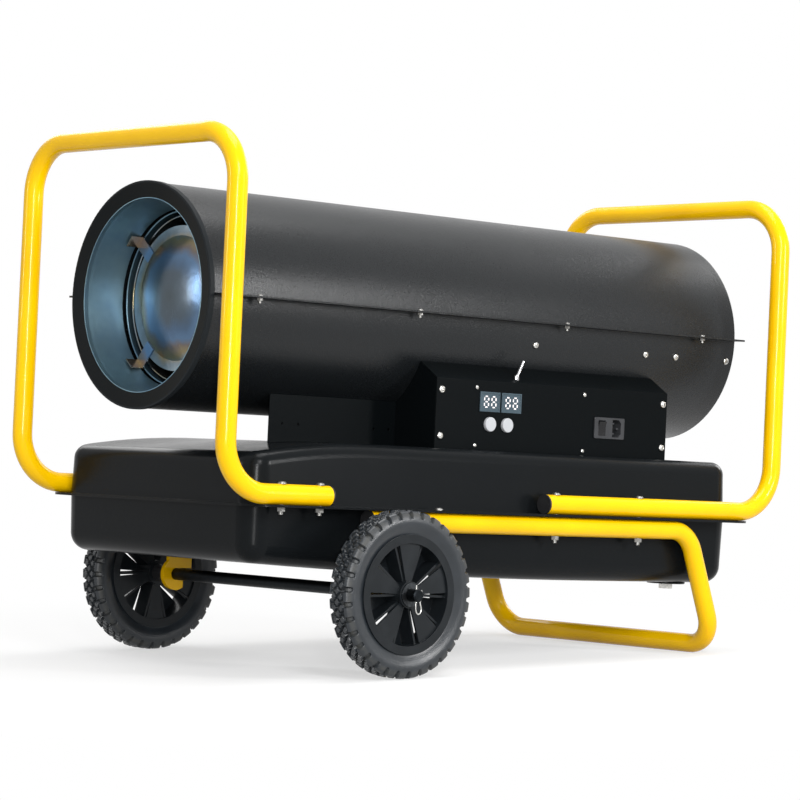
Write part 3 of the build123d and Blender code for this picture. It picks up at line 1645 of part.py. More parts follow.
# Spacers between the hooks and the hubs, and washers outside the hubs
hub_inner = wheel_y - hub_half_width
hub_outer = wheel_y + hub_half_width
axle_spacers = axle_rings(hook_y + hook_wall / 2 + slip_gap, hub_inner - slip_gap, spacer_radius)
finish(axle_spacers, "axle_spacers")
axle_washers = axle_rings(hub_outer + slip_gap, hub_outer + slip_gap + washer_wall, washer_radius)
finish(axle_washers, "axle_washers")


def hairpin_clip(way):
    """Bent wire: one leg up through the axle, a loop below and a return beside the axle's end."""
    low = wheel_axis_height - clip_bottom
    back_x = axle_x + 2 * clip_loop
    with BuildPart() as clip:
        with BuildLine(side_view(way * clip_y)) as wire:
            Line((axle_x, wheel_axis_height + clip_top), (axle_x, low))
            ThreePointArc((axle_x, low), (axle_x + clip_loop, low - clip_loop), (back_x, low))
            Line((back_x, low), (back_x, wheel_axis_height))
        with BuildSketch(Plane(origin=wire.line @ 0, z_dir=wire.line % 0)):
            Circle(clip_wire)
        sweep(path=wire.line)
    return clip


# Wheels
axle_line = Axis((axle_x, 0, wheel_axis_height), (0, 1, 0))


def wheel_view(y):
    """Plane across the axle at y, facing -Y, with its origin on the axle's line."""
    return Plane(origin=(axle_x, y, wheel_axis_height), x_dir=(1, 0, 0), z_dir=(0, -1, 0))


def wheel_profile_plane(y):
    """Plane through the axle's line at y: its own x runs outwards along Y, its own y is the radius."""
    way = 1 if y > 0 else -1
    return Plane(origin=(axle_x, y, wheel_axis_height), x_dir=(0, way, 0), z_dir=(way, 0, 0))


def fan_panels(centre_angle, angle, from_y, to_y, way):
    """Fan-shaped panels from the hub to the rim ring, between two places along the axle."""
    reach = panel_outer_radius
    with BuildPart() as panels:
        for turn in range(panel_count):
            middle = radians(centre_angle + 360 * turn / panel_count)
            low, high = middle - radians(angle / 2), middle + radians(angle / 2)
            with BuildSketch(wheel_view(way * from_y)):
                with BuildLine():
                    first = Line((0, 0), (reach * cos(low), reach * sin(low)))
                    arc = ThreePointArc(
                        first @ 1,
                        (reach * cos(middle), reach * sin(middle)),
                        (reach * cos(high), reach * sin(high)),
                    )
                    Line(arc @ 1, first @ 0)
                make_face()
            extrude(amount=-way * (to_y - from_y))
    return panels


def wheel_rim(way):
    """Moulded rim: hub, five outer and five inner fan panels with ribs between, and the tyre's seat."""
    front = wheel_y + rim_half_width
    back = wheel_y - rim_half_width
    back_centre = 90 + 180 / panel_count
    outer_panels = fan_panels(90, panel_angle, front - 2 * panel_wall, front - panel_wall, way)
    inner_panels = fan_panels(back_centre, back_panel_angle, back + panel_wall, back + 2 * panel_wall, way)
    with BuildPart() as rim:
        with BuildSketch(wheel_profile_plane(way * wheel_y)):
            with Locations((0, (rim_inner_radius + rim_seat_radius) / 2)):
                Rectangle(2 * rim_half_width, rim_seat_radius - rim_inner_radius)
            for side in (-1, 1):
                with Locations((side * (rim_half_width - rim_lip_wall / 2), rim_lip_radius)):
                    Rectangle(
                        rim_lip_wall,
                        2 * (rim_lip_radius - rim_seat_radius),
                        align=(Align.CENTER, Align.MAX),
                    )
            with Locations((0, (axle_radius + running_gap + hub_radius) / 2)):
                Rectangle(2 * hub_half_width, hub_radius - axle_radius - running_gap)
        revolve(axis=axle_line)
        add(outer_panels.part)
        add(inner_panels.part)
        with BuildSketch(wheel_view(way * (back + panel_wall))):
            for side in (-1, 1):
                with PolarLocations(0, panel_count, start_angle=90 + side * rib_angle):
                    Rectangle(panel_outer_radius, rib_wall, align=(Align.MIN, Align.CENTER))
        extrude(amount=-way * (front - back - 3 * panel_wall))
        with BuildSketch(wheel_view(0)):
            Circle(axle_radius + running_gap)
        extrude(amount=wheel_y + 2 * wheel_half_width, both=True, mode=Mode.SUBTRACT)
    return rim


def tyre(way):
    """Solid rubber tyre: rounded section on the rim's seat, with grooves cut between its shoulder lugs."""
    with BuildPart() as rubber:
        with BuildSketch(wheel_profile_plane(way * wheel_y)):
            with BuildLine():
                bead = rim_seat_radius + slip_gap
                lip = rim_lip_radius + slip_gap
                seat = rim_half_width - rim_lip_wall - slip_gap
                foot = Polyline((-seat, lip), (-seat, bead), (seat, bead), (seat, lip))
                wall_r = ThreePointArc(
                    foot @ 1,
                    (wheel_half_width, tyre_bulge_radius),
                    (tyre_shoulder_half_width, tyre_shoulder_radius),
                )
                crown_r = Line(wall_r @ 1, (tyre_crown_half_width, wheel_radius))
                crown = Line(crown_r @ 1, (-tyre_crown_half_width, wheel_radius))
                crown_l = Line(crown @ 1, (-tyre_shoulder_half_width, tyre_shoulder_radius))
                ThreePointArc(crown_l @ 1, (-wheel_half_width, tyre_bulge_radius), foot @ 0)
            make_face()
        revolve(axis=axle_line)
        for side in (-1, 1):
            outer_y = way * (wheel_y + side * (wheel_half_width + overrun))
            inner_y = way * (wheel_y + side * (wheel_half_width - groove_reach))
            with BuildSketch(wheel_view(inner_y)):
                with PolarLocations(wheel_radius - lug_depth, lug_count, start_angle=side * 90 / lug_count):
                    Rectangle(overrun, groove_width, align=(Align.MIN, Align.CENTER))
            extrude(amount=inner_y - outer_y, mode=Mode.SUBTRACT)
    return rubber


for way, side in ((-1, "near"), (1, "far")):
    finish(hairpin_clip(way), f"hairpin_clip_{side}")
    finish(wheel_rim(way), f"wheel_rim_{side}")
    finish(tyre(way), f"tyre_{side}")

# Stand the heater on the floor: lean it back, lift the wheels to the floor and centre it
leaned = {name: piece.rotate(Axis.Y, lean) for name, piece in finished.items()}
boxes = [piece.bounding_box() for piece in leaned.values()]
centre_x = (min(box.min.X for box in boxes) + max(box.max.X for box in boxes)) / 2
stand = Location((-centre_x, 0, wheel_radius - leaned_axle.Z))
for name, piece in leaned.items():
    standing = piece.moved(stand)
    standing.label = name
    export_step(standing, f"parts/{name}.step")
print("lean", lean, "centre_x", centre_x, "lift", wheel_radius - leaned_axle.Z)
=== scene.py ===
import json
import math

import bmesh
import bpy
from bpy.props import FloatProperty, FloatVectorProperty, IntProperty, PointerProperty
from mathutils import Matrix, Vector


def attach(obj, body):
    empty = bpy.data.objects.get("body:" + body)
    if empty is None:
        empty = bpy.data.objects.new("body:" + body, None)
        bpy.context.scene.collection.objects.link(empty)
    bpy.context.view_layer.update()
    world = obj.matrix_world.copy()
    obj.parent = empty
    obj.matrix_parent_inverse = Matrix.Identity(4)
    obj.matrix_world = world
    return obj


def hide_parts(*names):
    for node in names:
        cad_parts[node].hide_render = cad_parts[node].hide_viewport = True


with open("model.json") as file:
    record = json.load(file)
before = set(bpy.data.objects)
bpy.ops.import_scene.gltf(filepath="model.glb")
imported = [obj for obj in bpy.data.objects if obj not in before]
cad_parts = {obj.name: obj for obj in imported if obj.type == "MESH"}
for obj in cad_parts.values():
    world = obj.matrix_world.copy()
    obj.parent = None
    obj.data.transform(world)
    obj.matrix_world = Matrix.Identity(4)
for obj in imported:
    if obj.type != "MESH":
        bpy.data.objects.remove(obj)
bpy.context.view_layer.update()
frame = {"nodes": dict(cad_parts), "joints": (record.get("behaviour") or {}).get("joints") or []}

bl_info = {
    "name": "Forced air heater finish",
    "version": (1, 0, 0),
    "blender": (4, 5, 0),
    "location": "View3D > Sidebar > Heater",
    "description": "Finishes, tyre tread, screw heads, weld beads, lamps and camera for a heater",
    "category": "Object",
}

MM = 0.001

# Places and sizes on the level heater, in millimetres, as the solids have them
AXIS_HEIGHT = 470.0
FAN_X = 905.0
TUBE_RADIUS = 13.0
LEG_TUBE_SIDE = 216.2
LEG_TUBE_HEIGHT = 196.2
HOOK_FACES = (203.5, 209.5)
HOOK_START, HOOK_LENGTH = 223.7, 35.0
AXLE_X, AXLE_HEIGHT = 234.7, 106.0
CLIP_SIDE = 290.0
SIDES = (("near", -1), ("far", 1))

# The heater is drawn level and stands leaned back. The rotor's joint gives the lean and the drum's axis.
ROTOR = next(j for j in frame["joints"] if j["name"] == "rotor_spin")
DRUM_LINE = Vector(ROTOR["axis"]).normalized()
FAN_PLACE = Vector((FAN_X, 0.0, AXIS_HEIGHT)) * MM
LEAN = Matrix.Rotation(math.atan2(-DRUM_LINE.z, DRUM_LINE.x), 4, "Y")
LEVEL = Matrix.Translation(Vector(ROTOR["pos_m"]) - (LEAN @ FAN_PLACE)) @ LEAN
UP = (LEAN @ Vector((0, 0, 1))).normalized()


def level(x, y, z):
    """Row-frame point of a place given in millimetres on the level heater."""
    return LEVEL @ (Vector((x, y, z)) * MM)


# Sizes and colours that a user would change


class HeaterPaintSettings(bpy.types.PropertyGroup):
    drum: FloatVectorProperty(
        name="Drum", description="Powder coat of the drum", subtype="COLOR", size=3,
        default=(0.0066, 0.0078, 0.0088), min=0, max=1)
    # This colour also paints the shade on the nose ring's face, and the drum's colour, made paler, paints a
    # highlight round the ring's side.
    box: FloatVectorProperty(
        name="Box", description="Powder coat of the pedestal, the control box and the nose ring",
        subtype="COLOR", size=3, default=(0.0024, 0.0033, 0.0038), min=0, max=1)
    tank: FloatVectorProperty(
        name="Tank", description="Powder coat of the pressed tank", subtype="COLOR", size=3,
        default=(0.0048, 0.0058, 0.0066), min=0, max=1)
    enamel: FloatVectorProperty(
        name="Tube enamel", description="Glossy enamel of the handles and the leg", subtype="COLOR", size=3,
        default=(0.960, 0.575, 0.001), min=0, max=1)
    steel: FloatVectorProperty(
        name="Sheet steel", description="Bare sheet inside the drum", subtype="COLOR", size=3,
        default=(0.18, 0.29, 0.35), min=0, max=1)
    zinc: FloatVectorProperty(
        name="Zinc", description="Plating of screws, nuts and washers", subtype="COLOR", size=3,
        default=(0.66, 0.65, 0.62), min=0, max=1)
    grain: FloatProperty(
        name="Grain", description="Size of the powder coat's texture", unit="LENGTH", subtype="DISTANCE",
        default=0.0014, min=0.0002, max=0.01)


class HeaterTyreSettings(bpy.types.PropertyGroup):
    rubber: FloatVectorProperty(
        name="Rubber", description="Colour of the tyres", subtype="COLOR", size=3,
        default=(0.0100, 0.0132, 0.0168), min=0, max=1)
    rim: FloatVectorProperty(
        name="Rim", description="Colour of the moulded rims", subtype="COLOR", size=3,
        default=(0.0075, 0.0094, 0.0112), min=0, max=1)
    lug_count: IntProperty(
        name="Shoulder lugs", description="Lugs along each shoulder", default=34, min=8, max=90)
    knob_count: IntProperty(
        name="Knobs", description="Diamond knobs round the crown", default=46, min=8, max=90)
    tread_depth: FloatProperty(
        name="Tread depth", description="Height of the knobs", unit="LENGTH", subtype="DISTANCE",
        default=0.0042, min=0.001, max=0.01)
    clip_wire: FloatProperty(
        name="Clip wire", description="Wire of the hairpin clips", unit="LENGTH", subtype="DISTANCE",
        default=0.0018, min=0.0005, max=0.004)


class HeaterDetailSettings(bpy.types.PropertyGroup):
    recess_width: FloatProperty(
        name="Recess width", description="Width of a cross recess, as a share of the head",
        subtype="FACTOR", default=0.24, min=0.05, max=0.6)
    weld_size: FloatProperty(
        name="Weld bead", description="Thickness of a weld bead", unit="LENGTH", subtype="DISTANCE",
        default=0.0034, min=0.001, max=0.01)
    window: FloatVectorProperty(
        name="Display", description="Colour of the display frames", subtype="COLOR", size=3,
        default=(0.045, 0.070, 0.088), min=0, max=1)
    digits: FloatVectorProperty(
        name="Digits", description="Glow of the display digits", subtype="COLOR", size=3,
        default=(0.86, 0.80, 0.80), min=0, max=1)
    buttons: FloatVectorProperty(
        name="Buttons", description="Colour of the push buttons", subtype="COLOR", size=3,
        default=(0.44, 0.45, 0.47), min=0, max=1)


class HeaterStageSettings(bpy.types.PropertyGroup):
    floor: FloatVectorProperty(
        name="Floor", description="Colour of the floor", subtype="COLOR", size=3,
        default=(0.93, 0.93, 0.93), min=0, max=1)
    bounce: FloatProperty(
        name="Bounce", description="Share of the floor's light that falls back on the heater",
        subtype="FACTOR", default=0.40, min=0, max=1)
    world: FloatProperty(
        name="World", description="Strength of the soft light all round", default=0.20, min=0, max=5)
    key: FloatProperty(
        name="Key lamp", description="Power of the large lamp at the left", unit="POWER", default=82, min=0)
    top: FloatProperty(
        name="Top lamp", description="Power of the overhead lamp", unit="POWER", default=52, min=0)
    fill: FloatProperty(
        name="Fill lamp", description="Power of the lamp at the right", unit="POWER", default=42, min=0)
    mouth: FloatProperty(
        name="Mouth lamp", description="Power of the small lamp before the mouth",
        unit="POWER", default=10, min=0)
    back: FloatProperty(
        name="Back lamps", description="Power of each of the two lamps behind the heater",
        unit="POWER", default=30, min=0)
    strip: FloatProperty(
        name="Strip lamp", description="Power of the tall narrow lamp beside the camera",
        unit="POWER", default=120, min=0)
    lens: FloatProperty(
        name="Lens", description="Focal length of the camera", unit="CAMERA", default=139.78, min=10, max=400)


# Materials


class Shade:
    """A socket's value in a node tree, which joins in Python sums."""

    def __init__(self, nodes, socket):
        self.nodes = nodes
        self.socket = socket

    def _join(self, operation, first, second):
        return self.nodes.node("ShaderNodeMath", {"operation": operation}, {0: first, 1: second})

    def __add__(self, other):
        return self._join("ADD", self, other)

    def __radd__(self, other):
        return self._join("ADD", other, self)

    def __sub__(self, other):
        return self._join("SUBTRACT", self, other)

    def __rsub__(self, other):
        return self._join("SUBTRACT", other, self)

    def __mul__(self, other):
        return self._join("MULTIPLY", self, other)

    def __rmul__(self, other):
        return self._join("MULTIPLY", other, self)

    def __truediv__(self, other):
        return self._join("DIVIDE", self, other)

    def __rtruediv__(self, other):
        return self._join("DIVIDE", other, self)


class Nodes:
    """A node tree, and the one way in which nodes are added to it."""

    def __init__(self, tree):
        self.tree = tree

    def node(self, kind, settings=None, inputs=None, out=0):
        """A node with its settings, such as a ramp's stops, and then its sockets' values or links."""
        made = self.tree.nodes.new(kind)
        for key, value in (settings or {}).items():
            if key == "stops":
                ramp = made.color_ramp
                while len(ramp.elements) < len(value):
                    ramp.elements.new(0.5)
                for element, (place, colour) in zip(ramp.elements, value):
                    element.position = place
                    element.color = (*colour, 1)
            else:
                setattr(made, key, value)
        for key, value in (inputs or {}).items():
            socket = made.inputs[key]
            if isinstance(value, Shade):
                self.tree.links.new(value.socket, socket)
            elif socket.type == "RGBA" and len(value) == 3:
                socket.default_value = (*value, 1)
            else:
                socket.default_value = value
        return Shade(self, made.outputs[out]) if made.outputs else None

    def seen_rays(self):
        """1 for the rays that see the plain background, from the camera, gloss or glass, and 0 for light."""
        rays = 0
        for sort in ("Is Camera Ray", "Is Glossy Ray", "Is Transmission Ray"):
            ray = self.node("ShaderNodeLightPath", out=sort)
            rays = self.node("ShaderNodeMath", {"operation": "MAXIMUM"}, {0: rays, 1: ray})
        return rays


class Finish(Nodes):
    """One material: its shader, the plain values on it and the nodes that vary it."""

    def __init__(self, name, **plain):
        self.material = bpy.data.materials.new(name)
        self.material.use_nodes = True
        super().__init__(self.material.node_tree)
        self.shader = next(n for n in self.tree.nodes if n.type == "BSDF_PRINCIPLED")
        for key, value in plain.items():
            self.shader.inputs[key.replace("_", " ")].default_value = value

    def feed(self, name, shade):
        self.tree.links.new(shade.socket, self.shader.inputs[name])
        return self

    # What most finishes share
    def place(self):
        return self.node("ShaderNodeTexCoord", out="Object")

    def noise(self, size, detail=2.0, rough=0.5):
        """Noise from 0 to 1 whose grains are about size metres across."""
        return self.node(
            "ShaderNodeTexNoise", None,
            {"Vector": self.place(), "Scale": 1 / size, "Detail": detail, "Roughness": rough})

    def mix(self, factor, first, second):
        return self.node(
            "ShaderNodeMix", {"data_type": "RGBA"}, {"Factor": factor, 6: first, 7: second}, out=2)

    def spread(self, value, low, high):
        """Value taken from a range to the range from 0 to 1, and held at its ends."""
        return self.node("ShaderNodeMapRange", None, {"Value": value, "From Min": low, "From Max": high})

    def bump(self, height, distance, strength, under=None):
        inputs = {"Height": height, "Distance": distance, "Strength": strength}
        if under:
            inputs["Normal"] = under
        return self.node("ShaderNodeBump", None, inputs)

    def vector(self, operation, first, second=None, out="Vector"):
        """Vector Math on two shades or plain vectors."""
        inputs = {0: first} if second is None else {0: first, 1: second}
        return self.node("ShaderNodeVectorMath", {"operation": operation}, inputs, out)

    def along(self, direction):
        """Distance of the surface point along a direction."""
        return self.vector("DOT_PRODUCT", self.place(), tuple(direction), "Value")

    def from_line(self, direction, origin):
        """Distance of the surface point from a line."""
        moved = self.vector("SUBTRACT", self.place(), tuple(origin))
        turned = self.vector("CROSS_PRODUCT", moved, tuple(direction))
        return self.vector("LENGTH", turned, out="Value")


def toned(colour, factor, lift=0.0):
    """A colour made paler or deeper."""
    return tuple(min(1, c * factor + lift) for c in colour)


# Height of the powder coat's pebbles, as a share of their size
PEBBLE_RISE = 0.16
# Distance from the drum's axis at which the nose ring's face ends and its side begins: there the face's
# painted shade gives way to the painted highlight round the side
RING_SHADE_EDGE = (0.1430, 0.1442)


def soft_edge(finish, radius):
    """Rounded look on the edges of pressed and folded metal."""
    return finish.node("ShaderNodeBevel", {"samples": 6}, {"Radius": radius})


def powder_coat(name, colour, grain, edge, sheen, gloss, pebbled=0.62):
    """Fine textured powder coat: an even pebbled grain, a faint sparkle, and upward faces painted paler in
    cloudy patches as painted light from above.
    """
    finish = Finish(name, Specular_IOR_Level=gloss)
    pebble = finish.noise(grain, 1.5, 0.55)
    coarse = finish.noise(grain * 4, 1.0, 0.5)
    cloud = finish.noise(0.16, 3.0, 0.6)
    sparkle = finish.spread(pebble, 0.62, 0.78)
    facing = finish.node("ShaderNodeNewGeometry", out="Normal")
    upward = finish.node("ShaderNodeSeparateXYZ", None, {0: facing}, out="Z")
    # Painted light: upward faces are painted paler in cloudy patches as light from above, and are made
    # rougher there.
    painted_top_light = finish.spread(upward, 0.55, 1.0) * finish.spread(cloud, 0.35, 0.75) * 0.22
    base = finish.mix(sparkle * 0.6, colour, toned(colour, 2.4, 0.004))
    base = finish.mix(painted_top_light, base, toned(colour, 2.6, 0.004))
    finish.feed("Base Color", base)
    finish.feed("Roughness", sheen + (cloud - 0.5) * 0.10 + (pebble - 0.5) * 0.16 + painted_top_light * 0.3)
    bump = finish.bump(pebble + coarse * 0.5, grain * PEBBLE_RISE, pebbled, soft_edge(finish, edge))
    return finish.feed("Normal", bump).material


def ring_coat_painted_light(name, face, side, grain):
    """Powder coat with painted light: darker on the ring's face as painted shade, and paler round its side as
    a painted highlight.
    """
    finish = Finish(name, Specular_IOR_Level=0.05)
    pebble = finish.noise(grain, 1.5, 0.55)
    # Painted light: the face takes the dark colour as painted shade, and the side a paler drum colour as a
    # painted highlight along the outer edge.
    painted_highlight_side = finish.spread(finish.from_line(DRUM_LINE, ROTOR["pos_m"]), *RING_SHADE_EDGE)
    front = finish.mix(pebble, face, toned(face, 1.8))
    finish.feed("Base Color", finish.mix(painted_highlight_side, front, toned(side, 2.2)))
    finish.feed("Roughness", 0.40 + (pebble - 0.5) * 0.16)
    bump = finish.bump(pebble, grain * PEBBLE_RISE, 0.6, soft_edge(finish, 0.0014))
    return finish.feed("Normal", bump).material


def enamel_coat(name, colour):
    """Glossy enamel on bent tube: slight orange peel, faint scuffs and a deeper tone in cloudy patches."""
    finish = Finish(name, Coat_Weight=0.22, Coat_Roughness=0.06, Specular_IOR_Level=0.08)
    peel = finish.noise(0.0045, 1.0, 0.4)
    cloud = finish.noise(0.09, 2.0, 0.5)
    scuff = finish.spread(finish.noise(0.0016, 4.0, 0.7), 0.66, 0.80) * finish.spread(cloud, 0.5, 0.7)
    deep = (colour[0] * 0.93, colour[1] * 0.86, colour[2] * 0.7)
    pale = (min(1, colour[0] * 1.02), min(1, colour[1] * 1.12), colour[2] + 0.03)
    base = finish.mix(finish.spread(cloud, 0.3, 0.8), deep, colour)
    finish.feed("Base Color", finish.mix(scuff * 0.3, base, pale))
    finish.feed("Roughness", 0.22 + (cloud - 0.5) * 0.08 + scuff * 0.2)
    return finish.feed("Normal", finish.bump(peel, 0.00035, 0.35, soft_edge(finish, 0.0006))).material


def rolled_steel(name, colour, rough, tint):
    """Bare sheet rolled round the drum's axis: fine lines across it, soft stains and some heat tint."""
    finish = Finish(name, Metallic=0.92)
    run = finish.along(DRUM_LINE)
    across = finish.from_line(DRUM_LINE, ROTOR["pos_m"])
    rolled = finish.node("ShaderNodeCombineXYZ", None, {0: run, 1: across})
    lines = finish.node(
        "ShaderNodeTexNoise", {"noise_dimensions": "2D"}, {"Vector": rolled, "Scale": 1400, "Detail": 3})
    stain = finish.noise(0.07, 3.0, 0.6)
    blue = (colour[0] * 0.55, colour[1] * 0.75, colour[2] * 1.15)
    base = finish.mix(finish.spread(stain, 0.35, 0.75), colour, toned(colour, 0.62))
    base = finish.mix(finish.spread(stain, 0.45, 0.62) * tint, base, blue)
    finish.feed("Base Color", base)
    finish.feed("Roughness", rough + (lines - 0.5) * 0.22 + (stain - 0.5) * 0.16)
    return finish.feed("Normal", finish.bump(lines, 0.00012, 0.35, soft_edge(finish, 0.0004))).material


# Colours of hot sheet from the middle to the rim
HEAT_BANDS = (
    (0.0, (0.065, 0.08, 0.09)), (0.34, (0.07, 0.09, 0.11)), (0.48, (0.07, 0.11, 0.17)),
    (0.60, (0.09, 0.15, 0.24)), (0.70, (0.14, 0.12, 0.11)), (0.80, (0.22, 0.18, 0.10)),
    (0.90, (0.20, 0.24, 0.27)), (1.0, (0.30, 0.36, 0.40)))


def heat_tint(name, rim_radius, bright=1.0):
    """Stainless sheet that has been hot: pale at the rim, then straw, bronze and blue, dark in the middle."""
    finish = Finish(name, Metallic=0.95)
    across = finish.from_line(DRUM_LINE, ROTOR["pos_m"])
    wander = finish.noise(0.05, 3.0, 0.6)
    share = across / rim_radius + (wander - 0.5) * 0.36
    stops = [(at, toned(tone, bright)) for at, tone in HEAT_BANDS]
    bands = finish.node("ShaderNodeValToRGB", {"stops": stops}, {"Fac": share})
    rub = finish.noise(0.0012, 3.0, 0.6)
    finish.feed("Base Color", bands)
    finish.feed("Roughness", 0.24 + (wander - 0.5) * 0.14 + (rub - 0.5) * 0.10)
    return finish.feed("Normal", finish.bump(wander, 0.0022, 0.30, finish.bump(rub, 0.0001, 0.2))).material


def plated(name, colour, rough, stain=0.35):
    """Plated or machined metal: fine scratches and a little clouding."""
    finish = Finish(name, Metallic=1.0)
    cloud = finish.noise(0.006, 2.0, 0.5)
    line = finish.noise(0.0005, 3.0, 0.6)
    deep = toned(colour, 1 - stain)
    finish.feed("Base Color", finish.mix(finish.spread(cloud, 0.4, 0.75), colour, deep))
    finish.feed("Roughness", rough + (line - 0.5) * 0.2)
    return finish.feed("Normal", finish.bump(line, 0.00005, 0.25, soft_edge(finish, 0.0003))).material


def cast_metal(name, colour):
    """Cast housing: grainy and dull."""
    finish = Finish(name, Metallic=0.8)
    grain = finish.noise(0.0014, 3.0, 0.6)
    cloud = finish.noise(0.03, 2.0, 0.5)
    finish.feed("Base Color", finish.mix(cloud, toned(colour, 0.7), colour))
    finish.feed("Roughness", 0.48 + (grain - 0.5) * 0.25)
    return finish.feed("Normal", finish.bump(grain, 0.0003, 0.5)).material


def moulded(name, colour, rough, grain=0.0009, pale=1.6, gloss=0.25):
    """Moulded plastic: an even fine texture, a little paler where it has been handled."""
    finish = Finish(name, Specular_IOR_Level=gloss)
    fine = finish.noise(grain, 2.0, 0.55)
    worn = finish.noise(0.03, 3.0, 0.6)
    lighter = toned(colour, pale, 0.003)
    finish.feed("Base Color", finish.mix(finish.spread(worn, 0.45, 0.8) * 0.55, colour, lighter))
    finish.feed("Roughness", rough + (fine - 0.5) * 0.14 + (worn - 0.5) * 0.12)
    return finish.feed("Normal", finish.bump(fine, 0.0001, 0.4, soft_edge(finish, 0.0004))).material


ROAD_DUST = (0.052, 0.050, 0.042)


def tyre_rubber(name, colour, hub, crown):
    """Moulded rubber: fine pores, faint rings on the side wall and pale dust low in the tread."""
    finish = Finish(name, Specular_IOR_Level=0.5)
    radius = finish.from_line((0, 1, 0), hub)
    pores = finish.noise(0.0008, 2.5, 0.6)
    patches = finish.noise(0.018, 3.0, 0.6)
    rings = finish.node(
        "ShaderNodeTexNoise", {"noise_dimensions": "1D"}, {"W": radius, "Scale": 900, "Detail": 2})
    # The grooves' floor lies between these radii
    below = finish.spread(radius, crown * 0.985, crown * 0.955)
    above = finish.spread(radius, crown * 0.90, crown * 0.94)
    ground = below * above
    base = finish.mix(finish.spread(patches, 0.4, 0.8) * 0.5, colour, toned(colour, 1.7))
    base = finish.mix(ground * finish.spread(patches, 0.35, 0.65) * 0.55, base, ROAD_DUST)
    finish.feed("Base Color", base)
    finish.feed("Roughness", 0.33 + (patches - 0.5) * 0.16 + ground * 0.2 + (pores - 0.5) * 0.1)
    return finish.feed("Normal", finish.bump(pores + rings * 0.4, 0.00025, 0.45)).material


def display_glow(name, colour):
    """Lit segments: a pale glow with a faint grain."""
    finish = Finish(name, Roughness=0.35, Emission_Strength=0.35)
    grain = finish.noise(0.0012, 1.0, 0.5)
    tone = finish.mix(grain, colour, toned(colour, 0.82))
    return finish.feed("Base Color", tone).feed("Emission Color", tone).material


def laminate(name):
    """Circuit board: green lacquer with fine copper runs showing through."""
    finish = Finish(name, Coat_Weight=0.4)
    runs = finish.node(
        "ShaderNodeTexBrick", {"offset": 0.5},
        {"Vector": finish.place(), "Color1": (0.01, 0.07, 0.03), "Color2": (0.02, 0.10, 0.045),
         "Mortar": (0.05, 0.16, 0.07), "Scale": 90, "Mortar Size": 0.03})
    finish.feed("Base Color", runs)
    return finish.feed("Roughness", 0.3 + finish.noise(0.004) * 0.15).material


# Mesh helpers


def mesh_object(name, verts, faces, smooth=30.0):
    """New object from points in the row frame, with the edges sharper than smooth degrees kept."""
    mesh = bpy.data.meshes.new(name)
    mesh.from_pydata([tuple(v) for v in verts], [], faces)
    work = bmesh.new()
    work.from_mesh(mesh)
    bmesh.ops.recalc_face_normals(work, faces=work.faces)
    for face in work.faces:
        face.smooth = True
    for edge in work.edges:
        if len(edge.link_faces) == 2 and edge.calc_face_angle(0) > math.radians(smooth):
            edge.smooth = False
    work.to_mesh(mesh)
    work.free()
    made = bpy.data.objects.new(name, mesh)
    bpy.context.scene.collection.objects.link(made)
    return made


def dress(node, material):
    """Give a CAD node its finish."""
    mesh = frame["nodes"][node].data
    mesh.materials.clear()
    mesh.materials.append(material)


def settle(piece, body, slot, material, *nodes):
    """Finish a new piece: its material, the body it rides on and the nodes it stands for. Its slot is not
    used.
    """
    piece.data.materials.clear()
    piece.data.materials.append(material)
    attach(piece, body)
    if nodes:
        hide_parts(*nodes)


def spun(profile, steps):
    """Points and faces of (radius, height) pairs turned about Z. Radius 0 closes on the axis."""
    verts, faces, rings = [], [], []
    turns = [(math.cos(math.tau * k / steps), math.sin(math.tau * k / steps)) for k in range(steps)]
    for radius, height in profile:
        if radius == 0:
            rings.append([len(verts)] * steps)
            verts.append((0, 0, height))
        else:
            rings.append(list(range(len(verts), len(verts) + steps)))
            verts += [(radius * across, radius * up, height) for across, up in turns]
    for low, high in zip(rings, rings[1:]):
        for k in range(steps):
            n = (k + 1) % steps
            face = [low[k], low[n], high[n], high[k]]
            face = [v for i, v in enumerate(face) if v not in face[:i]]
            if len(face) > 2:
                faces.append(face)
    return verts, faces


def tube_along(points, radius, sides):
    """Points and faces of a round wire through a list of points, closed at both ends."""
    verts, faces = [], []
    path = [Vector(p) for p in points]
    normal = None
    for k, point in enumerate(path):
        ahead = path[min(k + 1, len(path) - 1)] - path[max(k - 1, 0)]
        ahead.normalize()
        if normal is None:
            normal = ahead.orthogonal().normalized()
        normal = (normal - ahead * normal.dot(ahead)).normalized()
        other = ahead.cross(normal)
        for s in range(sides):
            angle = math.tau * s / sides
            verts.append(point + (normal * math.cos(angle) + other * math.sin(angle)) * radius)
    for k in range(len(path) - 1):
        for s in range(sides):
            n = (s + 1) % sides
            faces.append([k * sides + s, k * sides + n, (k + 1) * sides + n, (k + 1) * sides + s])
    faces.append(list(range(sides)))
    faces.append(list(range((len(path) - 1) * sides, len(path) * sides)))
    return verts, faces


def smooth_line(points, steps):
    """Points along a smooth line through the given ones, with steps points to each stretch."""
    path = [Vector(p) for p in points]
    path = [path[0] * 2 - path[1]] + path + [path[-1] * 2 - path[-2]]
    out = []
    for a, b, c, d in zip(path, path[1:], path[2:], path[3:]):
        for k in range(steps):
            t = k / steps
            out.append(0.5 * (2 * b + (c - a) * t + (2 * a - 5 * b + 4 * c - d) * t * t
                              + (3 * b - a - 3 * c + d) * t ** 3))
    out.append(path[-2])
    return out


# Section of a domed head: shares of its radius, and of its rise lost below the top
HEAD_DOME = ((0.30, 0.02), (0.58, 0.10), (0.80, 0.24), (0.94, 0.48), (1.0, 0.80), (1.0, 1.0))
HEAD_STEPS = 28
# The cross recess: the reach of its arms, its depth and the size of its floor, as shares
RECESS_REACH, RECESS_DEPTH, RECESS_TAPER = 0.58, 0.62, 0.72


